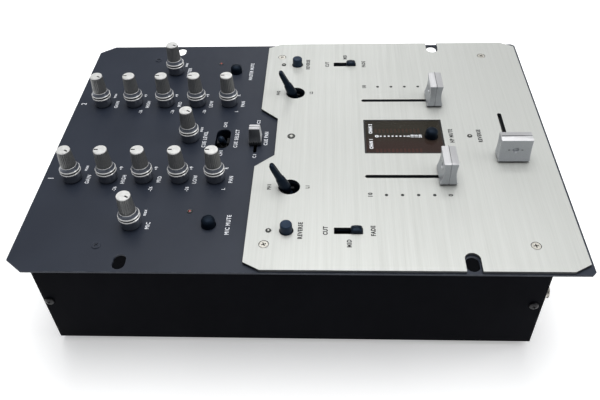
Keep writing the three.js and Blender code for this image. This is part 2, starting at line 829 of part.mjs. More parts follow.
/** The power inlet and the bay of the power rocker, in one moulded housing with a bezel. */
function makePowerModule() {
  const { x, z, width, height } = powerModule;
  const [windowX, windowZ] = [width / 2 - 2 - runGap, height / 2 - 2 - runGap];
  const bezel = block(
    [x - width / 2, rearY + seatGap, z - height / 2],
    [x + width / 2, rearY + 1.6, z + height / 2],
  );
  const housing = block([x - windowX, rearY - 16, z - windowZ], [x + windowX, rearY + 1, z + windowZ]);
  const bay = block(
    [rockerX - rocker.width / 2 - runGap, rearY - 9, z - rocker.height / 2 - 2 * runGap],
    [rockerX + rocker.width / 2 + runGap, rearY + 3, z + rocker.height / 2 + 2 * runGap],
  );
  const inletBore = rodAlongY(x - 9, z, rearY - 10, rearY + 3, 3);
  const pin = rodAlongY(x - 9, z, rearY - 11, rearY, 1, 10);
  return bezel.add(housing).subtract(bay).subtract(inletBore).add(pin);
}

/** The power rocker: its outer face is a shallow V, and it turns on a line along X at its own origin. */
function makeRocker() {
  const half = rocker.height / 2;
  const slope = Math.tan(radians(rocker.throwAngle)) * half;
  const outline = [
    [-3.5, -2],
    [-3.5, 2],
    [0, half - 0.6],
    [2 + slope, half - 0.6],
    [2, 0],
    [2 + slope, -half + 0.6],
    [0, -half + 0.6],
  ];
  return carriedAlongX(outline, -rocker.width / 2, rocker.width / 2);
}

// ---- Assembly ----
add("faceplate", makeFaceplate(), "slate");
add("overlay_plate", makeOverlay(), "brushed");
add("base_cover", makeBaseCover(), "blackSteel");
add("front_panel", makeFrontPanel(), "blackSteel");
add("rear_panel", makeRearPanel(), "blackSteel");
for (const { number, side } of channels) {
  add(`front_foot_${number}`, makeFoot(side, -1), "rubber");
  add(`rear_foot_${number}`, makeFoot(side, 1), "rubber");
}
for (const spot of screwSpots) add(spot.name, makeScrew(spot), spot.onOverlay ? "nickel" : "blackSteel");

add("control_board", makeControlBoard(), "circuit");
add("meter_board", makeMeterBoard(), "circuit");
add("meter_window", makeMeterWindow(), "smoked");
for (const { number, side } of channels) {
  add(`fader_track_${number}`, makeTrack(side * channelX, faderMidY, channelFader.travel, "y"), "zinc");
}
add("crossfader_track", makeTrack(0, crossfaderY, crossfader.travel, "x"), "zinc");
for (const spot of ledSpots) add(spot.name, makeLed(spot), spot.finish);

add("headphone_jack", makeJack(phonesX, phonesSocket.z, frontY, -1), "nickel");
add("mic_jack", makeJack(micSocketX, phonesSocket.z, rearY, 1), "nickel");
add("input_jack_block", makeSocketBlock(inputColumns), "blackPlastic");
add("output_jack_block", makeSocketBlock(outputColumns), "blackPlastic");
add("power_module", makePowerModule(), "blackPlastic");

const powerRocker = add("power_rocker", makeRocker(), "blackPlastic");
powerRocker.position.set(rockerX, rearY + 0.4, powerModule.z);
powerRocker.rotation.x = radians(rocker.throwAngle / 2);

const knobAtMinimum = 150; // the pointer turned left from straight ahead, in degrees
for (const { name, x, y, fromMinimum } of knobSpots) {
  const knob = add(name, makeKnob(), "knob");
  knob.position.set(x, y, plateTop);
  knob.rotation.z = fromMinimum ? radians(knobAtMinimum) : 0;
}
for (const { name, x, y, surface } of muteSpots) {
  add(name, makeMuteButton(surface), "keyRubber").position.set(x, y, plateTop);
}
for (const { name, x, y } of reverseSpots) {
  add(name, makeReverseButton(), "keyRubber").position.set(x, y, plateTop);
}
const modeReach = (modeSwitch.slotLength - modeSwitch.capLength) / 2 - runGap;
for (const { number, side } of channels) {
  const toggle = add(`transform_lever_${number}`, makeToggle(), "blackPlastic");
  toggle.position.set(side * toggleX, toggleY, pivotZ);
  toggle.rotation.x = -radians(toggleLean);
  const modeCap = add(`mode_switch_${number}`, makeModeCap(), "blackPlastic");
  modeCap.position.set(side * reverseX, modeSwitchY - modeReach, plateTop);
  const fader = add(`channel_fader_${number}`, makeFaderCap(channelFader.capLength), "cap");
  fader.position.set(side * channelX, faderRestY, plateTop);
}

const cueSelect = add("cue_select_lever", makeCueSelect(), "blackPlastic");
cueSelect.position.set(0, cueSelectY, pivotZ);
cueSelect.rotation.order = "ZYX";
cueSelect.rotation.set(-radians(cueSelectLean), 0, radians(90));

add("cue_pan_slider", makeCuePanCap(), "cap").position.set(cuePan.rest, cuePanY, plateTop);

const crossCap = add("crossfader", makeFaderCap(crossfader.capLength), "cap");
crossCap.position.set(-crossfader.travel / 2, crossfaderY, plateTop);
crossCap.rotation.z = radians(90);

export default mixer;
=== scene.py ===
"""Looks for a two-channel DJ mixer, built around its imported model.

The frame is the model's own: metres, +X to the user's right, +Y away from the user, +Z up.
Shapes are drawn in millimetres and scaled when they become a mesh.
"""

import math

import bmesh
import bpy
from mathutils import Matrix, Vector


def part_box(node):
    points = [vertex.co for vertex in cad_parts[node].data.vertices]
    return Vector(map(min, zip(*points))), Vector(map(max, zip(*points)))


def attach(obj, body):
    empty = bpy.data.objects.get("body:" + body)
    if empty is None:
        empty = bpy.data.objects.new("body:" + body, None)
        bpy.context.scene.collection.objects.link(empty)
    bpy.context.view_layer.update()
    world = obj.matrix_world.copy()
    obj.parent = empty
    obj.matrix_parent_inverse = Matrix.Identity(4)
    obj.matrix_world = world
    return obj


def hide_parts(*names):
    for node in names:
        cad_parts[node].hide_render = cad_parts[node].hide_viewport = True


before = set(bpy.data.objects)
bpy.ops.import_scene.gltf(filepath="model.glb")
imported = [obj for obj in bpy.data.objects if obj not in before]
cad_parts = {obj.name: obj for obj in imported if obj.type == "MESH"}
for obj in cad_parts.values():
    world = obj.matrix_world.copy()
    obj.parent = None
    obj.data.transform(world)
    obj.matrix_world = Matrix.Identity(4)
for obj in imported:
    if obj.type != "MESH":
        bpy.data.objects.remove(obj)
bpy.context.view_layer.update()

MM = 0.001
ROOT = "chassis"


# ---------------------------------------------------------------- places from the frame
def corners(node):
    """The lowest and highest corners of a CAD node, in millimetres."""
    low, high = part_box(node)
    return low / MM, high / MM


def middle(node):
    """The middle of a CAD node's box, in millimetres."""
    low, high = corners(node)
    return (low + high) / 2


def at(x, y, z):
    return Matrix.Translation((x, y, z))


def turn(axis, degrees):
    return Matrix.Rotation(math.radians(degrees), 4, axis)


def over(node, z):
    """The place at height z on the upright line through the middle of a CAD node."""
    spot = middle(node)
    return at(spot.x, spot.y, z)


# ---------------------------------------------------------------- names, and sizes in millimetres
CHANNELS = {1: -1, 2: 1}  # each channel's number, and its side of the face along X
SINGLE_KNOBS = ("mic_knob", "master_knob", "cue_level_knob")
KNOB_ROWS = ("gain", "high", "mid", "low", "pan")
KNOBS = [f"{row}_knob_{number}" for number in CHANNELS for row in KNOB_ROWS] + [*SINGLE_KNOBS]
FROM_MINIMUM = {"gain_knob_1", "gain_knob_2", *SINGLE_KNOBS}
MUTE_KEYS = ("mic_mute_button", "master_mute_button")
PLATE_LEDS = {"mic_mute_led": 1.5, "master_mute_led": 1.5}
OVERLAY_LEDS = {"reverse_led_1": 1.5, "reverse_led_2": 1.5, "crossfader_led": 1.5, "power_led": 2.5}
SCREWS = {
    "black": ("rear_screw_1", "rear_screw_2"),
    "nickel": ("middle_screw_1", "middle_screw_2", "front_screw_1", "front_screw_2"),
}

PLATE_BOTTOM, PLATE_TOP = (corner.z for corner in corners("faceplate"))
OVERLAY_BOTTOM, OVERLAY_TOP = (corner.z for corner in corners("overlay_plate"))
STEP_UP = OVERLAY_TOP - PLATE_TOP
FACE_HALF = 127  # half the width of the face
FACE_SLOT = Vector((118.9, 107.0))  # where the slots for fixing bolts are
FACE_SLOT_SIZE = (12.0, 8.0)
LEVER_X, LEVER_Y, PIVOT_Z = 54.0, 5.7, 91.0
CUE_SELECT_Y = 57.0
LEVER_HOLE, KNOB_HOLE, MUTE_HOLE, REVERSE_HOLE, SCREW_HOLE = 7.25, 3.3, 4.8, 4.45, 3.15
LED_GAP = 0.3
CUE_HOLE = (22.0, 10.5)
CUE_PAN_SLOT = (32.0, 2.4)
MODE_TRAVEL, FADER_TRAVEL, CROSS_TRAVEL = 10.0, 52.0, 48.0
MODE_SLOT = (5.4, 18.0)
FADER_SLOT, CROSS_SLOT = 3.0, 2.9  # widths
FADER_END = 5.6  # how much longer than its travel a fader's slot is

SHEET, BEND = 1.2, 1.6  # thickness of the case's steel, and the outer radius of its bends
JACKS = ("headphone_jack", "mic_jack")
JACK_Z, JACK_HOLE = 48.5, 5.0
SOCKET_ROWS, SOCKET_HOLE = [41, 57], 4.5
INPUT_COLUMNS = [-26, -8, 14, 32]
OUTPUT_COLUMNS = [-62, -46]

KNOB_RIBS = 24
MINIMUM_TURN = 150  # degrees from the middle of a knob's travel to its lowest mark
TRANSFORM_LEAN, CUE_LEAN = 23.5, 38  # degrees that the levers lean at rest
CAP_HEIGHT = 18.4
CAP_FOOT = STEP_UP + 1.1  # above the faceplate, like every height on a cap or a key
CAP_BASE, CAP_WAIST, CAP_CREST = 12.2, 8.4, 9.7  # how thick a fader cap is, from its foot up
METER_STEPS = 12
METER_PITCH = 2.845
METER_FIRST = 40.1  # from the window's rear edge to the lowest step of the meter
BAR_X = 11.5
WORD, MARK = 2.85, 2.5  # height of a capital in a word, and in a mark
INK = 0.03  # how far marks stand above the meter's window

FLOOR_REACH = 3000  # from the middle of the floor to its sides
SHARP, PLATE_SHARP = 34, 14  # degrees: an edge that turns by more than this stays crisp


# ---------------------------------------------------------------- materials
class Shader:
    """One material's node tree, with short calls for adding and joining nodes."""

    def __init__(self, name, colour, roughness, metallic=0.0, **sockets):
        self.material = bpy.data.materials.new(name)
        self.material.use_nodes = True
        self.tree = self.material.node_tree
        self.surface = self.tree.nodes["Principled BSDF"]
        self.place = self.node("ShaderNodeTexCoord").outputs["Object"]
        self.fill(self.surface, Base_Color=colour, Roughness=roughness, Metallic=metallic, **sockets)

    def feed(self, node, name, value):
        """Joins an output socket to an input, or sets the input; a colour may leave out its alpha."""
        socket = node.inputs[name]
        if isinstance(value, bpy.types.NodeSocket):
            self.tree.links.new(value, socket)
        elif socket.type == "RGBA" and len(value) == 3:
            socket.default_value = (*value, 1)
        else:
            socket.default_value = value

    def fill(self, node, **values):
        for name, value in values.items():
            self.feed(node, name.replace("_", " "), value)

    def node(self, kind, **values):
        """Adds a node; a value is a socket's default, or the output socket that feeds it."""
        node = self.tree.nodes.new(kind)
        self.fill(node, **values)
        return node

    def combine(self, kind, setting, choice, values):
        """Adds a node that is set to a choice and takes its inputs by number."""
        node = self.node(kind)
        setattr(node, setting, choice)
        for index, value in values.items():
            self.feed(node, index, value)
        return node

    def math(self, operation, *values):
        return self.combine("ShaderNodeMath", "operation", operation, dict(enumerate(values))).outputs[0]

    def blend(self, factor, first, second):
        """Mixes two colours."""
        values = {0: factor, 6: first, 7: second}
        return self.combine("ShaderNodeMix", "data_type", "RGBA", values).outputs[2]

    def position(self, stretch=(1, 1, 1)):
        """Object coordinates, stretched; 1 unit of texture is 1 mm at a stretch of 1."""
        scale = [value / MM for value in stretch]
        return self.node("ShaderNodeMapping", Vector=self.place, Scale=scale).outputs["Vector"]

    def noise(self, scale, detail=3, stretch=(1, 1, 1), roughness=0.5):
        """Noise whose features are about 1 / scale millimetres across."""
        values = {"Scale": scale, "Detail": detail, "Roughness": roughness}
        return self.node("ShaderNodeTexNoise", Vector=self.position(stretch), **values).outputs["Fac"]

    def levels(self, value, low, high, start=0.0, end=1.0):
        """Maps a value from its range, start to end, onto low to high."""
        limits = {"From_Min": start, "From_Max": end, "To_Min": low, "To_Max": high}
        return self.node("ShaderNodeMapRange", Value=value, **limits).outputs["Result"]

    def around(self, scale, detail, roughness, less, more):
        """A roughness that wanders with noise, from less below its value to more above it."""
        return self.levels(self.noise(scale, detail), roughness - less, roughness + more)

    def ramp(self, value, *stops):
        """A colour ramp; each stop is a position and a colour."""
        node = self.node("ShaderNodeValToRGB", Fac=value)
        for element, (position, colour) in zip(node.color_ramp.elements, stops):
            element.position = position
            element.color = (*colour, 1)
        return node.outputs["Color"]

    def edge(self, radius, sharpness=0.9):
        """1 along outer edges and 0 on flat ground, from a bevel of radius millimetres."""
        rounded = self.node("ShaderNodeBevel", Radius=radius * MM)
        rounded.samples = 4
        flat = self.node("ShaderNodeNewGeometry").outputs["Normal"]
        normals = {0: rounded.outputs["Normal"], 1: flat}
        dot = self.combine("ShaderNodeVectorMath", "operation", "DOT_PRODUCT", normals)
        return self.levels(dot.outputs["Value"], 1.0, 0.0, sharpness, 1.0)

    def finish(self, colour, roughness, height, depth, strength):
        """Joins up the surface; its bump is a height of 0 to 1 that stands for depth millimetres."""
        bump = self.node("ShaderNodeBump", Height=height, Strength=strength, Distance=depth * MM)
        self.fill(self.surface, Base_Color=colour, Normal=bump.outputs["Normal"])
        if roughness:
            self.fill(self.surface, Roughness=roughness)
        return self.material


def shade(colour, factor):
    """A darker or lighter tone of a colour."""
    return [min(1.0, factor * value) for value in colour]


def painted_metal(name, dark, light, roughness, gloss, grain, edge_wear_and_sheen):
    """Powder-coated steel: a fine orange peel, faint mottling, and lighter patches along the edges, partly
    paint rubbed thin and partly a painted highlight.
    """
    shader = Shader(name, dark, roughness, Specular_IOR_Level=gloss)
    # The edges are lightened in patches: partly wear, partly a painted highlight where the edges catch the
    # light.
    wear_and_sheen_patches = shader.levels(shader.noise(0.35, 4), 0, 1, 0.42, 0.68)
    edge_lightening = shader.math("MULTIPLY", shader.edge(0.45), wear_and_sheen_patches)
    paint = shader.ramp(shader.noise(0.02, 4), (0.32, dark), (0.7, light))
    smears = shader.levels(shader.noise(0.06, 5, (1, 2.2, 1)), roughness - 0.06, roughness + 0.09)
    return shader.finish(shader.blend(edge_lightening, paint, edge_wear_and_sheen), smears, shader.noise(grain), 0.035, 0.5)


def brushed_metal(name, dark, light, roughness, metallic):
    """Aluminium brushed along X: long scratches, over a faint cloudiness."""
    along = (0.012, 1.0, 1.0)
    shader = Shader(name, light, roughness, metallic)

    def mixed(first, second, share):
        return shader.math(
            "ADD", shader.math("MULTIPLY", first, share), shader.math("MULTIPLY", second, 1 - share)
        )

    scratches = shader.noise(3.2, 5, along, 0.7)
    streaks = mixed(scratches, shader.noise(0.5, 3, along), 0.55)
    tone = mixed(streaks, shader.noise(0.012), 0.8)
    colour = shader.ramp(tone, (0.36, dark), (0.62, light))
    dullness = shader.levels(streaks, roughness + 0.1, roughness - 0.08, 0.35, 0.65)
    return shader.finish(colour, dullness, scratches, 0.012, 0.6)


def turned_metal(name, colour, roughness, rings=9.0, metallic=0.95):
    """Metal with fine lathe marks around the piece's own upright axis."""
    shader = Shader(name, colour, roughness, metallic)
    wave = shader.node("ShaderNodeTexWave", Vector=shader.position(), Scale=rings, Distortion=0.6, Detail=2)
    wave.wave_type = "RINGS"
    wave.rings_direction = "Z"
    tarnish = shader.noise(0.3, 4)
    tone = shader.ramp(tarnish, (0.3, shade(colour, 0.8)), (0.6, colour))
    dullness = shader.levels(tarnish, roughness + 0.1, roughness - 0.05)
    return shader.finish(tone, dullness, wave.outputs["Fac"], 0.006, 0.4)


def plain_metal(name, colour, roughness, metallic=0.95):
    """Plated or cast metal with slight tarnish and handling marks."""
    shader = Shader(name, colour, roughness, metallic)
    tone = shader.ramp(shader.noise(0.25, 5), (0.28, shade(colour, 0.72)), (0.62, colour))
    return shader.finish(tone, shader.around(0.8, 4, roughness, 0.06, 0.12), shader.noise(3.0), 0.01, 0.4)


def moulded(name, colour, roughness, grain=2.2, depth=0.02, metallic=0.0, edge_lightening=1.5, **sockets):
    """Moulded plastic or rubber: fine texture, slight sink marks, and edges polished by handling."""
    shader = Shader(name, colour, roughness, metallic, **sockets)
    light = [min(1.0, edge_lightening * value + 0.004) for value in colour]
    touched = shader.levels(shader.noise(0.4), 0.2, 1, 0.35, 0.65)
    handled = shader.math("MULTIPLY", shader.edge(0.4), touched)
    body = shader.ramp(shader.noise(0.12), (0.3, shade(colour, 0.86)), (0.7, colour))
    dullness = shader.around(0.5, 4, roughness, 0.05, 0.08)
    return shader.finish(shader.blend(handled, body, light), dullness, shader.noise(grain, 2), depth, 0.45)


def satin_paint(name, colour, light, roughness, metallic):
    """The metallic paint on knobs and caps: fine flake, and lighter along the edges."""
    shader = Shader(name, colour, roughness, metallic)
    flake = shader.node("ShaderNodeTexVoronoi", Vector=shader.position(), Scale=6.0).outputs["Color"]
    speck = shader.node("ShaderNodeRGBToBW", Color=flake).outputs["Val"]
    base = shader.ramp(speck, (0.2, shade(colour, 0.84)), (0.8, colour))
    tone = shader.blend(shader.edge(0.35), base, light)
    dullness = shader.around(0.4, 4, roughness, 0.05, 0.08)
    return shader.finish(tone, dullness, shader.noise(5.0, 2), 0.008, 0.4)


def lens(name, rim, core, reach):
    """A small moulded lens, darker at its rim than over the diode at its middle."""
    shader = Shader(name, core, 0.14, Coat_Weight=0.8, Coat_Roughness=0.06)
    split = shader.node("ShaderNodeSeparateXYZ", Vector=shader.position())
    squares = [shader.math("POWER", split.outputs[axis], 2.0) for axis in "XY"]
    distance = shader.math("SQRT", shader.math("ADD", *squares))
    tone = shader.ramp(shader.levels(distance, 0, 1, 0, reach), (0.15, core), (0.75, rim))
    gloss = shader.levels(shader.noise(1.5), 0.1, 0.22)
    return shader.finish(tone, gloss, shader.noise(2.5, 2), 0.01, 0.3)


def smoked_window():
    """Brown acrylic that the light bars show through, painted redder towards -X as a glow from the red
    segments below.
    """
    shader = Shader("smoked_window", (0.035, 0.028, 0.02), 0.1, Alpha=0.64, Specular_IOR_Level=0.45)
    smoke = shader.ramp(shader.noise(0.05), (0.3, (0.034, 0.030, 0.022)), (0.7, (0.044, 0.038, 0.028)))
    across = shader.node("ShaderNodeSeparateXYZ", Vector=shader.position()).outputs["X"]
    # Redder towards -X: a painted glow of the red segments under the window.
    warm = shader.levels(across, 0.8, 0.0, -9.0, 3.0)
    gloss = shader.levels(shader.noise(0.3, 4), 0.06, 0.16)
    tone = shader.blend(warm, smoke, (0.052, 0.030, 0.026))
    return shader.finish(tone, gloss, shader.noise(0.1, 2), 0.02, 0.2)


def circuit_board():
    """Black solder mask over a pattern of tracks; the dark switch and pot housings stand above it."""
    shader = Shader("circuit_board", (0.006, 0.009, 0.013), 0.45, Specular_IOR_Level=0.2)
    height = shader.node("ShaderNodeSeparateXYZ", Vector=shader.place).outputs["Z"]
    board_top = (corners("control_board")[0].z + 1.7) * MM
    housing = shader.math("GREATER_THAN", height, board_top)
    where = shader.position((0.25, 0.25, 0.25))
    tracks = shader.node(
        "ShaderNodeTexBrick",
        Vector=where,
        Scale=1.0,
        Color1=(0.005, 0.008, 0.012),
        Color2=(0.007, 0.010, 0.014),
        Mortar=(0.014, 0.020, 0.024),
    )
    tone = shader.blend(housing, tracks.outputs["Color"], (0.005, 0.006, 0.008))
    dullness = shader.levels(shader.noise(0.4), 0.45, 0.6)
    return shader.finish(tone, dullness, shader.noise(1.5, 2), 0.02, 0.4)


def ink(name, colour):
    """Screen-printed ink, slightly uneven where it was pulled across the plate."""
    shader = Shader(name, colour, 0.5)
    thin = [0.85 * value + 0.002 for value in colour]
    tone = shader.ramp(shader.noise(1.2, 4), (0.25, thin), (0.5, colour))
    dullness = shader.levels(shader.noise(2.0), 0.42, 0.6)
    return shader.finish(tone, dullness, shader.noise(4.0, 2), 0.01, 0.3)


def felt(name, colour):
    """Short black fibres, for the dust lips under the fader slots."""
    shader = Shader(name, colour, 0.95, Sheen_Weight=0.2)
    fibres = shader.noise(5.0, 5, (1, 0.4, 1), 0.7)
    tone = shader.ramp(fibres, (0.3, shade(colour, 0.5)), (0.7, colour))
    return shader.finish(tone, None, fibres, 0.06, 0.7)


def studio_floor():
    """A pale floor with a very faint unevenness, lit a little from below like a product table."""
    pale = (0.97, 0.97, 0.97)
    shader = Shader("studio_floor", pale, 0.6, Emission_Color=(1, 1, 1), Emission_Strength=0.34)
    tone = shader.ramp(shader.noise(0.004), (0.3, (0.955, 0.955, 0.955)), (0.7, (0.98, 0.98, 0.98)))
    return shader.finish(tone, None, shader.noise(0.4), 0.02, 0.1)


# The slate and black paints lighten along their edges: partly wear, partly a painted highlight.
SLATE = painted_metal(
    "slate_paint",
    dark=(0.014, 0.019, 0.032),
    light=(0.019, 0.025, 0.040),
    roughness=0.44,
    gloss=0.3,
    grain=2.6,
    edge_wear_and_sheen=(0.10, 0.11, 0.13),
)
BLACK_STEEL = painted_metal(
    "black_paint",
    dark=(0.0016, 0.0019, 0.0034),
    light=(0.0026, 0.0030, 0.0050),
    roughness=0.5,
    gloss=0.02,
    grain=2.2,
    edge_wear_and_sheen=(0.045, 0.047, 0.055),
)
BRUSHED = brushed_metal("brushed_aluminium", (0.50, 0.51, 0.485), (0.58, 0.59, 0.565), 0.42, 0.3)
# A dark grey for the overlay's cut edges, darker than its brushed face.
DARK_OVERLAY_EDGE = plain_metal("dark_overlay_edge", (0.045, 0.048, 0.052), 0.5, 0.6)
NICKEL = turned_metal("nickel", (0.66, 0.64, 0.60), 0.24)
BRASSY = turned_metal("warm_nickel", (0.62, 0.60, 0.54), 0.3, metallic=0.4)
ZINC = plain_metal("zinc", (0.36, 0.36, 0.38), 0.42)
BLACK_SCREW = moulded("black_oxide", (0.012, 0.012, 0.014), 0.34, 3.0, 0.01, 0.4, 3.0)
RECESS = moulded("recess_shadow", (0.006, 0.006, 0.006), 0.6, 3.0, 0.01, Specular_IOR_Level=0.2)
KNOB_GREY = satin_paint("knob_paint", (0.230, 0.232, 0.230), (0.36, 0.37, 0.37), 0.32, 0.6)
KNOB_DARK = satin_paint("knob_skirt_paint", (0.15, 0.165, 0.20), (0.30, 0.32, 0.36), 0.3, 0.6)
BRIGHT = turned_metal("bright_trim", (0.94, 0.94, 0.93), 0.2, metallic=0.25)
KNOB_TOP = turned_metal("knob_top", (0.74, 0.74, 0.72), 0.38, 12.0, 0.3)
CAP_SILVER = satin_paint("cap_paint", (0.48, 0.50, 0.53), (0.68, 0.69, 0.71), 0.34, 0.55)
CAP_TOP = brushed_metal("cap_top", (0.55, 0.55, 0.56), (0.65, 0.65, 0.66), 0.36, 0.6)
# Near-black for the grooves, gaps, dashes and feet of caps and knobs: painted shade in recesses and under
# the caps.
CAP_RECESS_SHADE = moulded("cap_recess_shade", (0.02, 0.022, 0.026), 0.5)
# The cue slider's sides take a darker paint and its ends a lighter one: painted shade and painted light.
CUE_SHADED_PAINT = satin_paint("cue_slider_shaded_paint", (0.10, 0.105, 0.115), (0.34, 0.35, 0.36), 0.34, 0.7)
CUE_LIT_END = satin_paint("cue_slider_lit_end", (0.70, 0.71, 0.72), (0.85, 0.85, 0.86), 0.4, 0.0)


def navy(name, colour, roughness, gloss, **texture):
    """Moulded plastic or rubber whose highlights are tinted blue."""
    shine = {"Specular_IOR_Level": gloss, "Specular_Tint": (0.45, 0.66, 1.0)}
    return moulded(name, colour, roughness, **texture, **shine)


BLACK_PLASTIC = navy("black_plastic", (0.004, 0.007, 0.013), 0.3, 0.24)
KEY_RUBBER = navy("key_rubber", (0.004, 0.007, 0.012), 0.42, 0.16, grain=3.0, depth=0.03)
SLATE_KEY = navy("slate_key", (0.015, 0.024, 0.041), 0.42, 0.3, grain=3.0, depth=0.03)
FOOT_RUBBER = moulded("foot_rubber", (0.014, 0.014, 0.014), 0.8, 1.4, 0.06)
BEZEL = moulded("led_bezel", (0.045, 0.050, 0.046), 0.4)
SOCKET_PLASTIC = moulded("socket_plastic", (0.012, 0.012, 0.013), 0.42)
ROCKER = moulded("rocker_plastic", (0.006, 0.006, 0.007), 0.34, Specular_IOR_Level=0.3)
RED_PLASTIC = moulded("red_insulator", (0.42, 0.015, 0.012), 0.4)
WHITE_PLASTIC = moulded("white_insulator", (0.72, 0.70, 0.66), 0.4)
RED_LENS = lens("red_lens", (0.05, 0.004, 0.004), (0.34, 0.012, 0.010), 1.5)
WIDE_CLEAR_LENS = lens("wide_clear_lens", (0.03, 0.03, 0.026), (0.55, 0.55, 0.50), 2.5)
CLEAR_LENS = lens("clear_lens", (0.03, 0.03, 0.028), (0.50, 0.50, 0.46), 1.5)
SEGMENT = lens("meter_segment", (0.80, 0.12, 0.08), (0.90, 0.18, 0.12), 9.0)
SMOKED = smoked_window()
CIRCUIT = circuit_board()
WHITE_INK = ink("white_ink", (0.84, 0.86, 0.90))
BLACK_INK = ink("black_ink", (0.003, 0.003, 0.004))
FELT = felt("dust_felt", (0.012, 0.012, 0.012))


# ---------------------------------------------------------------- outlines
def arc(x, y, radius, start, end, steps):
    """Points along an arc, with its angles in degrees."""
    points = []
    for step in range(steps + 1):
        angle = math.radians(start + (end - start) * step / steps)
        points.append((x + radius * math.cos(angle), y + radius * math.sin(angle)))
    return points


def circle(x, y, radius, steps=56):
    return arc(x, y, radius, 0, 360, steps)[:-1]


def obround(x, y, length, width, along="x", steps=20):
    """A slot with round ends."""
    radius = width / 2
    reach = length / 2 - radius
    if along == "x":
        return arc(x + reach, y, radius, -90, 90, steps) + arc(x - reach, y, radius, 90, 270, steps)
    return arc(x, y + reach, radius, 0, 180, steps) + arc(x, y - reach, radius, 180, 360, steps)


def rectangle(x0, x1, y0, y1, radius, steps=6):
    """A rectangle with round corners."""
    points = []
    for x, y, start in ((x1, y1, 0), (x0, y1, 90), (x0, y0, 180), (x1, y0, 270)):
        inside_x = x - radius if x == x1 else x + radius
        inside_y = y - radius if y == y1 else y + radius
        points += arc(inside_x, inside_y, radius, start, start + 90, steps)
    return points


def around(node, margin, radius, steps=5):
    """A CAD node's rectangle seen from above, grown by a margin, with round corners."""
    low, high = corners(node)
    return rectangle(low.x - margin, high.x + margin, low.y - margin, high.y + margin, radius, steps)


def mirrored(half):
    """A closed outline from its right half."""
    return half + [(-x, y) for x, y in reversed(half)]


# ---------------------------------------------------------------- meshes
def bridge(mesh, lower, upper, slot):
    """Faces between two rings of vertices; a ring of one vertex is a tip."""
    count = max(len(lower), len(upper))
    for k in range(count):
        following = (k + 1) % count
        face = [lower[k % len(lower)]]
        if len(lower) > 1:
            face.append(lower[following])
        face.append(upper[following % len(upper)])
        if len(upper) > 1:
            face.append(upper[k])
        mesh.faces.new(face).material_index = slot


def rows_of(slot, *points):
    """Rows for a lathe that share a material slot."""
    return [(*point, slot) for point in points]


def lathe(rows, segments=64, shape=None):
    """A closed solid turned about the upright axis; a row is (radius, z), and may name the slot above."""
    mesh = bmesh.new()
    rings = []
    for radius, z, *_ in rows:
        ring = []
        for k in range(segments if radius else 1):
            angle = 2 * math.pi * k / segments
            reach = shape(angle, radius, z) if shape and radius else radius
            ring.append(mesh.verts.new((reach * math.cos(angle), reach * math.sin(angle), z)))
        rings.append(ring)
    closed = rows[0][0] > 0
    pairs = list(zip(rings, rings[1:] + rings[:1]))
    for (lower, upper), (_, _, *slot) in zip(pairs if closed else pairs[:-1], rows):
        bridge(mesh, lower, upper, slot[0] if slot else 0)
    return mesh


def loft(rings, slots=(), cap_slots=(0, 0)):
    """A closed solid through rings of equal length, with a flat face at each end."""
    mesh = bmesh.new()
    made = [[mesh.verts.new(point) for point in ring] for ring in rings]
    for lower, upper, slot in zip(made, made[1:], slots or [0] * len(rings)):
        bridge(mesh, lower, upper, slot)
    mesh.faces.new(list(reversed(made[0]))).material_index = cap_slots[0]
    mesh.faces.new(made[-1]).material_index = cap_slots[1]
    return mesh


def sections(rows, steps):
    """Rings for a loft; a row is (z, half the width in X, half the width in Y, corner radius)."""
    rings = []
    for z, half_x, half_y, radius in rows:
        outline = rectangle(-half_x, half_x, -half_y, half_y, radius, steps)
        rings.append([(x, y, z) for x, y in outline])
    return rings


def moved(mesh, matrix):
    bmesh.ops.transform(mesh, matrix=matrix, verts=mesh.verts)
    return mesh


def box(x0, x1, y0, y1, z0, z1, round_off=0.1, slot=0, steps=1):
    """A box with its edges rounded off."""
    mesh = bmesh.new()
    bmesh.ops.create_cube(mesh, size=1)
    size = Matrix.Diagonal((x1 - x0, y1 - y0, z1 - z0, 1))
    moved(mesh, at((x0 + x1) / 2, (y0 + y1) / 2, (z0 + z1) / 2) @ size)
    if round_off:
        bmesh.ops.bevel(
            mesh, geom=mesh.edges[:], offset=round_off, segments=steps, profile=0.5, affect="EDGES"
        )
    for face in mesh.faces:
        face.material_index = slot
    return mesh


def reopened(data, result=None):
    """A bmesh that takes in a mesh, which is removed."""
    result = bmesh.new() if result is None else result
    result.from_mesh(data)
    bpy.data.meshes.remove(data)
    return result


def joined(*meshes):
    """Several bmeshes as one."""
    result = bmesh.new()
    for mesh in meshes:
        copy = bpy.data.meshes.new("part")
        mesh.to_mesh(copy)
        mesh.free()
        reopened(copy, result)
    return result


def held(name, data):
    """A new object in the scene."""
    thing = bpy.data.objects.new(name, data)
    bpy.context.scene.collection.objects.link(thing)
    return thing


def settled(thing):
    """An object's mesh with its curve settings and modifiers worked in; the object is removed."""
    bpy.context.view_layer.update()
    result = bpy.data.meshes.new_from_object(thing.evaluated_get(bpy.context.evaluated_depsgraph_get()))
    bpy.data.objects.remove(thing)
    return result


def filled(curve):
    """The flat mesh that a curve fills; the curve is removed."""
    flat = settled(held("outline", curve))
    bpy.data.curves.remove(curve)
    return flat


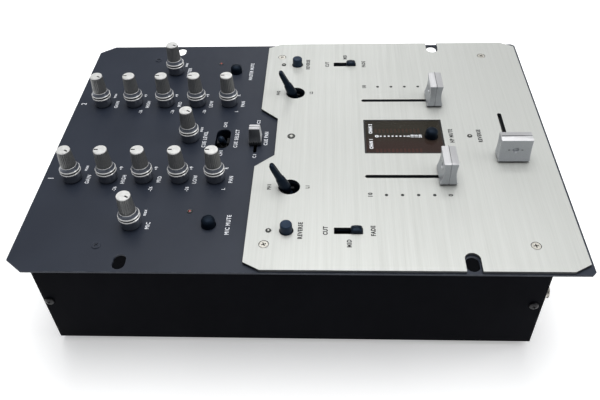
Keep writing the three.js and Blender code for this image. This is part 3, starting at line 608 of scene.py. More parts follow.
def plate(outline, holes, z0, z1, bevel, edge_slot=0):
    """A flat plate with holes, its rims softened by a small bevel."""
    curve = bpy.data.curves.new("plate", "CURVE")
    curve.dimensions = "2D"
    curve.fill_mode = "BOTH"
    curve.extrude = (z1 - z0) / 2 - bevel
    curve.bevel_depth = bevel
    curve.bevel_resolution = 1
    curve.offset = -bevel
    for points in (outline, *holes):
        area = sum(a[0] * b[1] - b[0] * a[1] for a, b in zip(points, points[1:] + points[:1]))
        wanted = 1 if points is outline else -1
        ordered = points if area * wanted > 0 else points[::-1]
        spline = curve.splines.new("POLY")
        spline.points.add(len(ordered) - 1)
        for point, (x, y) in zip(spline.points, ordered):
            point.co = (x, y, 0, 1)
        spline.use_cyclic_u = True
    mesh = reopened(filled(curve))
    bmesh.ops.remove_doubles(mesh, verts=mesh.verts, dist=1e-4)
    moved(mesh, at(0, 0, (z0 + z1) / 2))
    mesh.normal_update()
    for face in mesh.faces:
        face.material_index = edge_slot if abs(face.normal.z) < 0.5 else 0
    return mesh


def lettering(rows, z, bold=0.0, lift=0.02):
    """Printed words as one thin mesh; a row is (text, x, y, height), and may give the letters' width."""
    result = bmesh.new()
    for text, x, y, height, *width in rows:
        curve = bpy.data.curves.new("word", "FONT")
        curve.body = text
        curve.size = height * 1.37
        curve.align_x = "CENTER"
        curve.align_y = "CENTER"
        curve.extrude = lift / 2
        curve.resolution_u = 3
        curve.offset = bold * height
        curve.space_character = 1.2
        word = filled(curve)
        narrow = Matrix.Diagonal((width[0] if width else 0.84, 1, 1, 1))
        word.transform(at(x, y, z + lift / 2) @ narrow)
        reopened(word, result)
    bmesh.ops.remove_doubles(result, verts=result.verts, dist=1e-4)
    return result


def dots(spots, radius, z, lift=0.02):
    """Printed dots."""
    rows = [(0, z), (radius, z), (radius, z + lift), (0, z + lift)]
    return joined(*[moved(lathe(rows, 20), at(x, y, 0)) for x, y in spots])


def smooth(data, sharp):
    data.shade_smooth()
    data.set_sharp_from_angle(angle=math.radians(sharp))
    return data


def to_mesh(name, mesh, materials, sharp=SHARP):
    """A Blender mesh in metres from a bmesh in millimetres."""
    bmesh.ops.recalc_face_normals(mesh, faces=mesh.faces)
    data = bpy.data.meshes.new(name)
    mesh.to_mesh(data)
    mesh.free()
    data.transform(Matrix.Scale(MM, 4))
    for material in materials:
        data.materials.append(material)
    return smooth(data, sharp)


def carved(name, mesh, materials, cutters):
    """A Blender mesh with bmeshes cut out of it; the cuts keep the material slots of the cutters."""
    body = held(name, to_mesh(name, mesh, materials))
    tools = [held("cutter", to_mesh("cutter", cutter, materials)) for cutter in cutters]
    for tool in tools:
        cut = body.modifiers.new("cut", "BOOLEAN")
        cut.operation = "DIFFERENCE"
        cut.solver = "EXACT"
        cut.object = tool
    result = settled(body)
    for tool in tools:
        bpy.data.objects.remove(tool)
    return smooth(result, SHARP)


def piece(name, data, stands_for=(), body=ROOT, place=None):
    """Puts a mesh in the scene, at a matrix in millimetres, and hangs it on a body."""
    thing = held(name, data)
    if place is not None:
        where, spin, _ = place.decompose()
        thing.matrix_world = Matrix.Translation(where * MM) @ spin.to_matrix().to_4x4()
    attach(thing, body)
    if stands_for:
        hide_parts(*stands_for)
    return thing


def fixed(name, mesh, materials, stands_for=(), sharp=SHARP):
    """A piece of its own that stays where it is drawn."""
    piece(name, to_mesh(name, mesh, materials, sharp), stands_for)


def moving(node, ending, data, place=None, spin=0):
    """The piece that stands for a CAD node and moves with it, above its middle unless it has a place."""
    usual = over(node, PLATE_TOP) @ turn("Z", spin)
    piece(f"{node}_{ending}", data, [node], node, place or usual)


def paint(node, material, bevel=0.0):
    """Gives a CAD node its material and, where asked, softened edges."""
    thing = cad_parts[node]
    thing.data.materials.clear()
    thing.data.materials.append(material)
    if bevel:
        softened = thing.modifiers.new("soft_edges", "BEVEL")
        softened.width = bevel * MM
        softened.segments = 2
        softened.limit_method = "ANGLE"
        softened.angle_limit = math.radians(35)
        softened.harden_normals = True


# ---------------------------------------------------------------- plates
def holes_at(nodes, radius, steps=56):
    """Round holes centred on CAD nodes."""
    return [circle(middle(node).x, middle(node).y, radius, steps) for node in nodes]


def led_holes(leds):
    return [hole for node, radius in leds.items() for hole in holes_at([node], radius + LED_GAP, 32)]


def control_holes():
    """The holes that the faceplate and the overlay share."""
    holes = []
    half_x, half_y = MODE_SLOT[0] / 2, MODE_SLOT[1] / 2
    for number, side in CHANNELS.items():
        key = middle(f"reverse_button_{number}")
        fader = middle(f"channel_fader_{number}")
        rest = middle(f"mode_switch_{number}").y + MODE_TRAVEL / 2
        holes.append(circle(side * LEVER_X, key.y, LEVER_HOLE))
        holes.append(circle(key.x, key.y, REVERSE_HOLE))
        holes.append(rectangle(key.x - half_x, key.x + half_x, rest - half_y, rest + half_y, 0.4, 4))
        slot_y = fader.y + FADER_TRAVEL / 2
        holes.append(obround(fader.x, slot_y, FADER_TRAVEL + FADER_END, FADER_SLOT, "y"))
    cross = middle("crossfader")
    holes.append(obround(cross.x + CROSS_TRAVEL / 2, cross.y, CROSS_TRAVEL + FADER_END, CROSS_SLOT))
    return holes + led_holes(OVERLAY_LEDS)


def make_faceplate():
    low, high = corners("faceplate")
    front, rear = (2.5, 2.5), (9, 11.5)  # what is cut off each corner, along X and along Y
    outline = mirrored(
        [
            (high.x - front[0], low.y),
            (high.x, low.y + front[1]),
            (high.x, high.y - rear[1]),
            (high.x - rear[0], high.y),
        ]
    )
    holes = control_holes() + holes_at(KNOBS, KNOB_HOLE, 32) + holes_at(MUTE_KEYS, MUTE_HOLE)
    holes += led_holes(PLATE_LEDS)
    for x in (-FACE_SLOT.x, FACE_SLOT.x):
        for y in (-FACE_SLOT.y, FACE_SLOT.y):
            holes.append(obround(x, y, *FACE_SLOT_SIZE))
    cue_x = middle("cue_level_knob").x
    holes.append(obround(cue_x, CUE_SELECT_Y, *CUE_HOLE))
    holes.append(obround(cue_x, middle("cue_pan_slider").y, *CUE_PAN_SLOT))
    holes.append(around("meter_window", -1.2, 0.8, 6))
    mesh = plate(outline, holes, PLATE_BOTTOM, PLATE_TOP, bevel=0.22)
    fixed("faceplate_painted", mesh, [SLATE], ["faceplate"], PLATE_SHARP)


def make_overlay():
    """The brushed sheet, with a notch at its rear edge and open slots over the front fixing bolts."""
    low, high = corners("overlay_plate")
    notch_rear, notch_front, notch_depth = 33.2, 21.0, 13.2
    corner = (6.0, 10.5)
    gutter = FACE_SLOT_SIZE[1] / 2 + 0.7
    gutter_end = high.x + 0.7 - (FACE_HALF - FACE_SLOT.x) - (FACE_SLOT_SIZE[0] / 2 + 1)
    right = [
        (high.x - corner[0], low.y),
        (high.x, low.y + corner[1]),
        (high.x, -FACE_SLOT.y - gutter),
        *arc(gutter_end + gutter, -FACE_SLOT.y, gutter, 270, 90, 24),
        (high.x, -FACE_SLOT.y + gutter),
        (high.x, high.y - corner[1]),
        (high.x - corner[0], high.y),
        (notch_rear, high.y),
        (notch_front, high.y - notch_depth),
    ]
    holes = control_holes() + [around("meter_window", 0.3, 0.5, 6)]
    holes += holes_at(SCREWS["nickel"], SCREW_HOLE, 40)
    mesh = plate(mirrored(right), holes, OVERLAY_BOTTOM, OVERLAY_TOP, bevel=0.2, edge_slot=1)
    materials = [BRUSHED, DARK_OVERLAY_EDGE]
    fixed("overlay_brushed", mesh, materials, ["overlay_plate"], PLATE_SHARP)


# ---------------------------------------------------------------- case
def make_base_cover():
    """The folded sheet: floor, sides and the lips under the faceplate, with round bends."""
    low, high = corners("base_cover")
    lip = high.x - 9.7
    wall, floor, rim = high.x - BEND, low.z + BEND, high.z - BEND
    inner = BEND - SHEET
    half = arc(wall, floor, BEND, 270, 360, 8) + arc(wall, rim, BEND, 0, 90, 8)
    half += [(lip, high.z), (lip, high.z - SHEET)]
    half += arc(wall, rim, inner, 90, 0, 8) + arc(wall, floor, inner, 360, 270, 8)
    rings = [[(x, y, z) for x, z in mirrored(half)] for y in (low.y, high.y)]
    fixed("base_cover_folded", loft(rings), [BLACK_STEEL], ["base_cover"], PLATE_SHARP)


def upright_plate(name, node, holes):
    """An end panel of the case, drawn flat in X and Z and stood up."""
    low, high = corners(node)
    right = arc(high.x - BEND, low.z + BEND, BEND, 270, 360, 8) + [(high.x, high.z)]
    mesh = plate(mirrored(right), holes, 0, high.y - low.y, bevel=0.2)
    moved(mesh, at(0, high.y, 0) @ turn("X", 90))
    fixed(name, mesh, [BLACK_STEEL], [node], PLATE_SHARP)


def make_end_panels():
    phones, microphone = (circle(middle(node).x, JACK_Z, JACK_HOLE) for node in JACKS)
    upright_plate("front_panel_painted", "front_panel", [phones])
    low, high = corners("power_module")
    columns = INPUT_COLUMNS + OUTPUT_COLUMNS
    holes = [microphone] + [circle(x, z, SOCKET_HOLE) for x in columns for z in SOCKET_ROWS]
    holes.append(rectangle(low.x + 2, high.x - 2, low.z + 2, high.z - 2, 0.3, 3))
    upright_plate("rear_panel_painted", "rear_panel", holes)


def cross_recess(width, depth, z):
    """Cutters for a cross recess whose arms taper towards its floor."""
    arms = []
    for angle in (0, 90):
        rings = []
        for half_x, half_y, height in ((width * 0.3, 0.22, z - depth), (width / 2, 0.36, z + 0.2)):
            ends = ((-half_x, -half_y), (half_x, -half_y), (half_x, half_y), (-half_x, half_y))
            rings.append([(x, y, height) for x, y in ends])
        arms.append(moved(loft(rings, [1], (1, 1)), turn("Z", angle)))
    return arms


def screw_mesh(name, head, metal, width, top):
    return carved(name, lathe(head, 40), [metal, RECESS], cross_recess(width, 0.9, top))


def make_face_screws():
    """Bright flush screws in the overlay, and low heads painted with the plate on the dark half."""
    reach = PLATE_TOP - 8.5
    flat_top = OVERLAY_TOP - 0.05
    seat = PLATE_TOP + 0.1
    low_top = seat + 0.4
    shank = [(0, reach), (1.2, reach), (1.5, reach + 0.6), (1.5, PLATE_TOP - 0.3)]
    flat = [(2.75, OVERLAY_TOP - 1.1), (2.9, OVERLAY_TOP - 0.2), (2.75, flat_top), (0, flat_top)]
    low = [(2.8, seat), (2.9, seat + 0.1), (2.9, seat + 0.25), (2.7, low_top), (0, low_top)]
    styles = {
        "nickel": (flat, BRASSY, flat_top, 22, "nickel"),
        "black": (low, SLATE, low_top, 50, "black_screw"),
    }
    for style, (head, metal, top, angle, slot) in styles.items():
        data = screw_mesh(f"{style}_face_screw", shank + head, metal, 3.4, top)
        for index, node in enumerate(SCREWS[style]):
            place = over(node, 0) @ turn("Z", angle + 37 * index)
            piece(f"{node}_head", data, [node], place=place)


def make_side_screws():
    """Pan-head screws through each side of the case into its end panels."""
    low, high = corners("base_cover")
    height = 46.2
    head = [(0, -2.4), (1.3, -2.4), (1.3, 0.02), (3.1, 0.02), (3.15, 0.4)]
    head += [(2.9, 1.1), (2.2, 1.6), (1.2, 1.85), (0, 1.9)]
    data = screw_mesh("side_screw", head, BLACK_SCREW, 3.6, 1.75)
    for name, side in (("left", -1), ("right", 1)):
        for end, y, angle in (("front", low.y + 4.5, 25), ("rear", high.y - 2.8, 60)):
            place = at(side * high.x, y, height) @ turn("Y", 90 * side) @ turn("Z", angle)
            piece(f"side_screw_{name}_{end}", data, place=place)


def make_feet():
    rows = [(0, 1.6, 1), (2.6, 1.6), (2.6, 0.5), (3.0, 0.05), (6.9, 0)]
    rows += [(7.5, 0.4), (8.2, 1.9), (8.85, 3.2), (8.9, 3.9), (0, 3.9)]
    foot = to_mesh("foot", lathe(rows), [FOOT_RUBBER, ZINC])
    for end in ("front", "rear"):
        for number in CHANNELS:
            node = f"{end}_foot_{number}"
            piece(f"{node}_moulded", foot, [node], place=over(node, 0))


def jack_mesh():
    """A quarter-inch socket along +Z: its panel face is at z = 0 and its body is behind."""
    bore, neck, pitch = 3.3, 4.7, 0.5
    rows = [(bore, -25), (6.4, -25, 1), (6.4, -1.4, 1), (neck, -1.3), (neck, 0.1)]
    rows += [(7.0, 0.1), (7.0, 0.55), (5.9, 0.6), (6.0, 0.9), (6.0, 2.3), (5.7, 2.6), (neck, 2.65)]
    for index in range(4):
        z = 2.8 + index * pitch
        rows += [(neck - 0.22, z), (neck, z + pitch / 2)]
    rows += [(neck - 0.2, 4.95), (neck - 0.5, 5.2), (bore + 0.5, 5.2), (bore, 4.8, 1)]

    def hexagon(angle, radius, z):
        if not 0.7 < z < 2.5:
            return radius
        flat = math.cos(math.pi / 6) / math.cos((angle + math.pi / 6) % (math.pi / 3) - math.pi / 6)
        return min(radius * 1.08, radius * flat * 1.12)

    return to_mesh("quarter_inch_jack", lathe(rows, 72, hexagon), [NICKEL, SOCKET_PLASTIC])


def make_jacks():
    data = jack_mesh()
    faces = ((corners("front_panel")[0].y, 90), (corners("rear_panel")[1].y, -90))
    for node, (y, angle) in zip(JACKS, faces):
        place = at(middle(node).x, y, JACK_Z) @ turn("X", angle)
        piece(f"{node}_socket", data, [node], place=place)


def phono_socket(colour_slot):
    """A phono socket along +Z from its moulding: metal barrel, coloured insulator and centre contact."""
    rows = [(1.6, -2, 2), (1.6, 6.6, 1), (3.3, 6.9, 1), (3.45, 8.2, 1), (3.7, 8.3, 1), (4.15, 7.9, 1)]
    rows += [(4.2, 3.1), (5.2, 2.9), (5.3, -0.5)]
    mesh = lathe(rows, 48)
    for face in mesh.faces:
        centre = face.calc_center_median()
        reach = math.hypot(centre.x, centre.y)
        if 1.6 < reach < 3.3 and centre.z > 6:
            face.material_index = colour_slot
        elif reach > 4.3:
            face.material_index = 0
    return mesh


def make_phono_blocks():
    """Each block's sockets stand in two rows: red below and white above."""
    materials = [SOCKET_PLASTIC, NICKEL, WHITE_PLASTIC, RED_PLASTIC]
    white, red = 2, 3
    panel_out = corners("rear_panel")[1].y
    for node, columns in (("input_jack_block", INPUT_COLUMNS), ("output_jack_block", OUTPUT_COLUMNS)):
        low, high = corners(node)
        parts = [box(low.x, high.x, low.y, panel_out - SHEET - 0.1, low.z, high.z, 0.6, steps=2)]
        for x in columns:
            for z, colour_slot in zip(SOCKET_ROWS, (red, white)):
                place = at(x, panel_out - 1.6, z) @ turn("X", -90)
                parts.append(moved(phono_socket(colour_slot), place))
        fixed(f"{node}_sockets", joined(*parts), materials, [node])


# ---------------------------------------------------------------- controls
def knob_mesh():
    """A turned knob: skirt, two bright rings, a waist, and a ribbed grip under a bright disc."""
    grey, ring, disc, pointer, dark, gap = range(6)
    materials = [KNOB_GREY, BRIGHT, KNOB_TOP, BLACK_INK, KNOB_DARK, CAP_RECESS_SHADE]
    rows = rows_of(dark, (0, 0.5), (5.9, 0.5), (6.3, 0.9), (6.5, 3.0), (6.7, 6.9))
    rows += rows_of(ring, (6.8, 7.3), (7.1, 7.5), (7.1, 7.75))
    # The gap between the rings takes the near-black groove colour: painted shade in the recess.
    rows += rows_of(gap, (6.7, 8.2), (6.4, 8.4), (6.4, 9.4))
    rows += rows_of(ring, (6.6, 9.5), (7.0, 9.7), (7.0, 9.9))
    rows += rows_of(dark, (6.55, 10.35), (6.2, 10.8), (5.6, 12.4))
    rows += rows_of(ring, (5.55, 12.6))
    rows += rows_of(grey, (5.35, 12.85), (5.35, 13.2), (5.3, 14.4), (5.3, 15.2), (4.68, 24.9), (4.58, 25.2))
    rows += rows_of(ring, (4.5, 25.35))
    rows += rows_of(disc, (4.42, 25.8), (4.25, 26.0), (3.0, 26.04), (0, 26.04))

    def ribbed(angle, radius, z):
        if not 14.9 < z < 25.1:
            return radius
        return radius - 0.17 * (1 - math.cos(KNOB_RIBS * angle))

    mark = box(-0.6, 0.6, 1.2, 4.0, 25.7, 26.1, 0.08, pointer)
    return to_mesh("knob", joined(lathe(rows, KNOB_RIBS * 8, ribbed), mark), materials, sharp=30)


def make_knobs():
    data = knob_mesh()
    for node in KNOBS:
        rest = MINIMUM_TURN if node in FROM_MINIMUM else 0
        moving(node, "turned", data, spin=rest)


def cap_half(t):
    """Half the thickness of a fader cap, at t from 0 at its foot to 1 at its top edges."""
    low = 0.58
    if t < low:
        return (CAP_WAIST + (CAP_BASE - CAP_WAIST) * (1 - t / low) ** 1.8) / 2
    return (CAP_WAIST + (CAP_CREST - CAP_WAIST) * ((t - low) / (1 - low)) ** 1.7) / 2


def cap_ring(half_x, half_y, z):
    """One level of a cap: a rectangle with small chamfers and a groove down each short side."""
    groove, bevel = 0.5, 0.3
    quarter = [(half_x, groove), (half_x, half_y - bevel), (half_x - bevel, half_y)]
    right = [(x, -y) for x, y in reversed(quarter)] + [(half_x - groove * 0.9, 0)] + quarter
    left = [(-x, -y) for x, y in right]
    return [(x, y, z) for x, y in right + left]


def raise_ridge(mesh, top, slot):
    """Replaces the flat top of a cap by two slopes that meet along the middle at z = top."""
    mesh.faces.ensure_lookup_table()
    roof = mesh.faces[-1]
    edge = list(roof.verts)
    bmesh.ops.delete(mesh, geom=[roof], context="FACES_ONLY")
    ridge = sorted((v for v in edge if abs(v.co.y) < 1e-6), key=lambda v: v.co.x)
    for vertex in ridge:
        vertex.co.z = top
    for sign in (-1, 1):
        half = [v for v in edge if v.co.y * sign > 1e-6]
        half.sort(key=lambda v: math.atan2(v.co.y * sign, v.co.x))
        mesh.faces.new([ridge[-1], *half, ridge[0]]).material_index = slot


def dimples(groove):
    """Cutters for a round dimple with a dash on either side, in each long face of a fader cap."""
    bowl = [(0, -1.6), (1.0, -1.5), (1.7, -1.0), (2.15, -0.3), (2.3, 0.4), (2.35, 3.0), (0, 3.0)]
    cutters = []
    for sign in (-1, 1):
        place = at(0, sign * cap_half(0.5), CAP_FOOT + CAP_HEIGHT / 2) @ turn("X", -90 * sign)
        cutters.append(moved(lathe(bowl, 40), place))
        for x in (-4.4, 4.4):
            # Each dash is cut in the near-black groove colour: painted shade inside it.
            dash = box(x - 0.75, x + 0.75, -0.3, 0.3, -0.5, 1.5, 0.12, groove)
            cutters.append(moved(dash, place))
    return cutters


def fader_cap_mesh(length):
    """A waisted cap with a ridge along its top, a groove down each end and a dimple in each face. Its two
    lowest bands, its crease and a block under its foot are near-black: painted shade.
    """
    side, bright, groove, metal = range(4)
    materials = [CAP_SILVER, CAP_TOP, CAP_RECESS_SHADE, ZINC]
    wall = CAP_HEIGHT - 0.8
    top = CAP_FOOT + CAP_HEIGHT
    steps = 18
    levels = [0.0, 0.2] + [0.6 + (wall - 0.85) * k / steps for k in range(steps + 1)] + [wall]
    rings = []
    for level in levels:
        shrink = 0.22 if level == wall else 0.5 if level < 0.5 else 0.0
        rings.append(cap_ring(length / 2 - shrink, cap_half(level / wall) - shrink, CAP_FOOT + level))
    # The two lowest bands take the groove colour: painted shade at the foot of the cap.
    shell = loft(rings, [groove, groove] + [side] * (len(rings) - 3))
    raise_ridge(shell, top, bright)
    body = reopened(carved("fader_cap", shell, materials, dimples(groove)))
    inset_x, inset_y = length / 2 - 0.9, CAP_BASE / 2 - 0.9
    # The crease along the ridge and the block under the foot are near-black: painted shade.
    crease = box(-length / 2 + 0.5, length / 2 - 0.5, -0.14, 0.14, top - 0.3, top, 0, groove)
    shadow_gap = box(-inset_x, inset_x, -inset_y, inset_y, CAP_FOOT - 0.7, CAP_FOOT + 0.3, slot=groove)
    blade = box(-0.6, 0.6, -2.5, 2.5, -9, CAP_FOOT + 1, slot=metal)
    parts = joined(moved(body, Matrix.Scale(1 / MM, 4)), crease, shadow_gap, blade)
    return to_mesh("fader_cap", parts, materials, sharp=28)


def make_fader_caps():
    channel, cross = fader_cap_mesh(19.4), fader_cap_mesh(21.4)
    faders = (("channel_fader_1", channel, 0), ("channel_fader_2", channel, 180), ("crossfader", cross, 90))
    for node, data, angle in faders:
        moving(node, "cap", data, spin=angle)


def make_cue_pan_cap():
    """The slim cap of the cue pan slider: a ribbed foot, plain sides and a bright grooved top. Its sides
    are painted darker and its ends lighter, as painted shade and painted light; its foot, ribs and top
    groove are near-black, as painted shade.
    """
    side, bright, groove, end = range(4)
    materials = [CUE_SHADED_PAINT, CAP_TOP, CAP_RECESS_SHADE, CUE_LIT_END]
    levels = [(1.2, 5.3, 4.4), (1.5, 5.4, 4.5), (3.6, 5.2, 4.5), (4.4, 4.6, 4.45)]
    levels += [(8.5, 3.7, 4.25), (12.9, 2.95, 4.0), (13.6, 2.8, 3.9), (14.0, 2.45, 3.6)]
    # The two lowest bands are near-black: painted shade under the foot.
    slots = [groove, groove] + [side] * (len(levels) - 4) + [bright]
    shell = loft(sections([(*level, 0.5) for level in levels], 3), slots, (groove, bright))
    shell.normal_update()
    # The end faces take the lighter paint: painted light on the ends.
    for face in shell.faces:
        if abs(face.normal.y) > 0.8 and face.calc_center_median().z > 3.6:
            face.material_index = end
    # The ribs in the foot and the groove on top are cut in the near-black groove colour: painted shade.
    cutters = []
    for x in (-5.6, 5.6):
        for y in (-2.7, -0.9, 0.9, 2.7):
            cutters.append(box(x - 0.9, x + 0.9, y - 0.35, y + 0.35, 0.8, 5.2, slot=groove))
    cutters.append(box(-0.22, 0.22, -5, 5, 13.65, 15, 0, groove))
    body = moved(reopened(carved("cue_pan_cap", shell, materials, cutters)), Matrix.Scale(1 / MM, 4))
    stem = box(-2, 2, -0.7, 0.7, -8, 2, slot=groove)
    data = to_mesh("cue_pan_cap", joined(body, stem), materials)
    moving("cue_pan_slider", "cap", data)


def lever_mesh(name, rows):
    """A lever about its pivot at the origin: a ball, a cross pin, and a shaft.

    A row of the shaft is (distance from the pivot, half the width in X, half the width in Y,
    roundness of the corners).
    """
    pin, ball_radius = 4.1, 2.6
    shaft = loft(sections([(z, x, y, roundness * min(x, y)) for z, x, y, roundness in rows], 7))
    ball = arc(0, 0, ball_radius, -75, 75, 10)
    ball = lathe([(0, -ball_radius), *ball, (0, ball_radius)], 40)
    rod = moved(lathe([(0, -pin), (1, -pin), (1, pin), (0, pin)], 24), turn("Y", 90))
    return to_mesh(name, joined(shaft, ball, rod), [BLACK_PLASTIC], sharp=38)


def round_rows(*rows):
    """Rows of a lever's shaft that are as good as round; a row is (distance, radius)."""
    return [(z, radius, radius, 0.99) for z, radius in rows]


def make_levers():
    """The two transform levers and the cue select lever, each leaning as it rests."""
    rows = round_rows((0.0, 1.8), (3.0, 2.4), (5.0, 3.4), (6.2, 3.8), (8.0, 3.8))
    rows += [(14.2, 3.1, 3.15, 0.98), (15.1, 2.95, 2.95, 0.95), (15.5, 2.65, 2.5, 0.9)]
    rows += [(16.2, 2.6, 2.3, 0.85), (24.0, 2.6, 1.85, 0.85), (26.6, 2.5, 1.65, 0.9)]
    rows += [(27.7, 2.15, 1.35, 0.95), (28.25, 1.5, 0.9, 0.98), (28.4, 0.8, 0.4, 0.98)]
    data = lever_mesh("transform_lever", rows)
    for number, side in CHANNELS.items():
        place = at(side * LEVER_X, LEVER_Y, PIVOT_Z) @ turn("X", -TRANSFORM_LEAN)
        moving(f"transform_lever_{number}", "moulded", data, place)
    rows = round_rows((0, 1.6), (7.6, 1.8), (9.2, 2.35), (10.4, 2.5), (11.8, 2.4), (12.6, 1.9), (13, 0.9))
    data = lever_mesh("cue_select_lever", rows)
    place = at(0, CUE_SELECT_Y, PIVOT_Z) @ turn("Y", -CUE_LEAN) @ turn("Z", 90)
    moving("cue_select_lever", "moulded", data, place)


def make_mute_keys():
    """Domed rubber keys."""
    radius = 4.42
    for node in (*MUTE_KEYS, "phones_mute_button"):
        top = 6.3 + (STEP_UP if node.startswith("phones") else 0)
        foot = corners(node)[0].z - PLATE_TOP
        rows = [(0, foot), (2, foot), (2, -2.5), (4.5, -2.5), (4.5, top - 3.6), (radius, top - 2.4)]
        for angle in range(10, 90, 10):
            bend = math.radians(angle)
            rows.append((radius * math.cos(bend) ** 0.62, top - 2.4 + 2.4 * math.sin(bend) ** 1.25))
        data = to_mesh(f"{node}_dome", lathe([*rows, (0, top)], 56), [KEY_RUBBER], sharp=60)
        moving(node, "dome", data)


def make_reverse_keys():
    """Keys with a shallow dish in a flat top."""
    foot = corners("reverse_button_1")[0].z - PLATE_TOP
    top = STEP_UP + 6.2
    rows = [(0, foot), (1.8, foot), (1.8, -2.5), (3.85, -2.5), (3.85, top - 1.1), (3.78, top - 0.6)]
    rows += [(3.55, top - 0.2), (3.2, top), (2.6, top - 0.05), (1.4, top - 0.22), (0, top - 0.28)]
    data = to_mesh("reverse_key", lathe(rows, 56), [SLATE_KEY], sharp=50)
    for number in CHANNELS:
        moving(f"reverse_button_{number}", "key", data)


def make_mode_caps():
    """The humped actuators of the slide switches, each on a stem below it."""
    half, reach, shoulder, bottom = 3.7, 2.4, 1.9, -2.6
    peak = STEP_UP + 3.0
    top = peak - 0.15
    level = STEP_UP + 0.9
    profile = [(-half, bottom), (half, bottom), (half, level)]
    profile += arc(half - shoulder, level, shoulder, 0, 60, 5)[1:] + [(0.8, top), (-0.8, top)]
    profile += arc(-half + shoulder, level, shoulder, 120, 180, 5)
    centre = (top + bottom) / 2
    rings = []
    for x, shrink in ((-reach, 0.25), (-reach + 0.3, 0), (reach - 0.3, 0), (reach, 0.25)):
        scale_y, scale_z = 1 - shrink / half, 1 - shrink / (top - centre)
        rings.append([(x, y * scale_y, centre + (z - centre) * scale_z) for y, z in profile])
    stem = box(-1.6, 1.6, -2.4, 2.4, corners("mode_switch_1")[0].z - PLATE_TOP, -2)
    ribs = [box(-2.1, 2.1, y - 0.13, y + 0.13, top - 0.3, peak, 0.05) for y in (-1.0, -0.5, 0.0, 0.5, 1.0)]
    data = to_mesh("mode_switch_cap", joined(loft(rings), stem, *ribs), [BLACK_PLASTIC], sharp=45)
    for number in CHANNELS:
        moving(f"mode_switch_{number}", "cap", data)


def make_led(node, radius, surface, glass):
    """A domed lens in a thin dark bezel, which rides on the lens."""
    foot = corners(node)[0].z - surface
    dome = 0.66 * radius
    rows = [(0, foot), (dome, foot), (dome, 0.1)]
    for angle in range(0, 90, 15):
        bend = math.radians(angle)
        rows.append((dome * math.cos(bend), 0.2 + 0.45 * math.sin(bend)))
    data = to_mesh(f"{node}_lens", lathe([*rows, (0, 0.65)], 40), [glass], sharp=50)
    place = over(node, surface)
    lens_piece = piece(f"{node}_lens", data, [node], place=place)
    ring = [(dome + 0.05, -1.2), (radius + 0.2, -1.2), (radius + 0.2, 0.35)]
    ring += [(radius, 0.5), (dome + 0.2, 0.45), (dome + 0.05, 0.2)]
    bezel = to_mesh(f"{node}_bezel", lathe(ring, 40), [BEZEL])
    holder = piece(f"{node}_bezel", bezel, place=place)
    holder.parent = lens_piece
    holder.matrix_parent_inverse = Matrix.Identity(4)
    holder.matrix_basis = Matrix.Identity(4)


def make_leds():
    for node, radius in PLATE_LEDS.items():
        make_led(node, radius, PLATE_TOP, RED_LENS)
    for node, radius in OVERLAY_LEDS.items():
        glass = WIDE_CLEAR_LENS if node == "power_led" else CLEAR_LENS
        make_led(node, radius, OVERLAY_TOP, glass)


# ---------------------------------------------------------------- under the plates
def make_wells():
    """The dark dust covers seen through the lever holes, open in the middle for the switch."""
    wall, bore, top, floor = 0.8, 6.0, PLATE_BOTTOM - 0.2, PLATE_BOTTOM - 7.0
    radius = LEVER_HOLE + 0.9
    rows = [(bore, floor), (radius, floor), (radius, top), (radius - wall, top)]
    rows += [(radius - wall, floor + wall), (bore, floor + wall)]
    data = to_mesh("lever_well", lathe(rows, 56), [BLACK_PLASTIC])
    for number, side in CHANNELS.items():
        place = at(side * LEVER_X, LEVER_Y, 0)
        piece(f"lever_well_{number}", data, place=place)
    outer, inner = (obround(0, 0, CUE_HOLE[0] + grown, CUE_HOLE[1] + grown) for grown in (2, 0.6))
    data = to_mesh("cue_select_well", plate(outer, [inner], floor, top, bevel=0.1), [BLACK_PLASTIC])
    piece("cue_select_well", data, place=at(0, CUE_SELECT_Y, 0))


def dust_lips(name, place, travel, slot_width):
    """Two felt lips under a slot, with a parting that the blade runs through."""
    gap, width = 0.7, slot_width / 2 + 1.6
    half_length = (travel + 9) / 2
    z0, z1 = PLATE_BOTTOM - 0.9, PLATE_BOTTOM - 0.3
    for number, side in CHANNELS.items():
        low, high = sorted((side * gap, side * width))
        strip = to_mesh(name, box(low, high, -half_length, half_length, z0, z1), [FELT])
        piece(f"{name}_{number}", strip, place=place)


def make_dust_lips():
    for number in CHANNELS:
        fader = middle(f"channel_fader_{number}")
        place = at(fader.x, fader.y + FADER_TRAVEL / 2, 0)
        dust_lips(f"fader_{number}_dust_lip", place, FADER_TRAVEL, FADER_SLOT)
    cross = middle("crossfader")
    place = at(cross.x + CROSS_TRAVEL / 2, cross.y, 0) @ turn("Z", 90)
    dust_lips("crossfader_dust_lip", place, CROSS_TRAVEL, CROSS_SLOT)


def meter_step(step):
    """Where a step of the meter is along Y, counted from its lowest."""
    return corners("meter_window")[1].y - METER_FIRST + step * METER_PITCH


def make_meter():
    """The smoked window, and two rows of red segments on the light bars under it."""
    low, high = corners("meter_window")
    holes = holes_at(["phones_mute_button"], MUTE_HOLE)
    mesh = plate(around("meter_window", 0, 0.5), holes, low.z, high.z, bevel=0.12)
    fixed("meter_window_smoked", mesh, [SMOKED], ["meter_window"], PLATE_SHARP)
    bar_top = PLATE_BOTTOM - 1.0
    for number, side in CHANNELS.items():
        segments = []
        for step in range(METER_STEPS):
            y = meter_step(step)
            segments.append(box(-2.5, 2.5, y - 0.95, y + 0.95, bar_top + 0.02, bar_top + 0.35, 0.12))
        data = to_mesh(f"meter_segments_{number}", joined(*segments), [SEGMENT])
        piece(f"meter_segments_{number}", data, place=at(side * BAR_X, 0, 0))


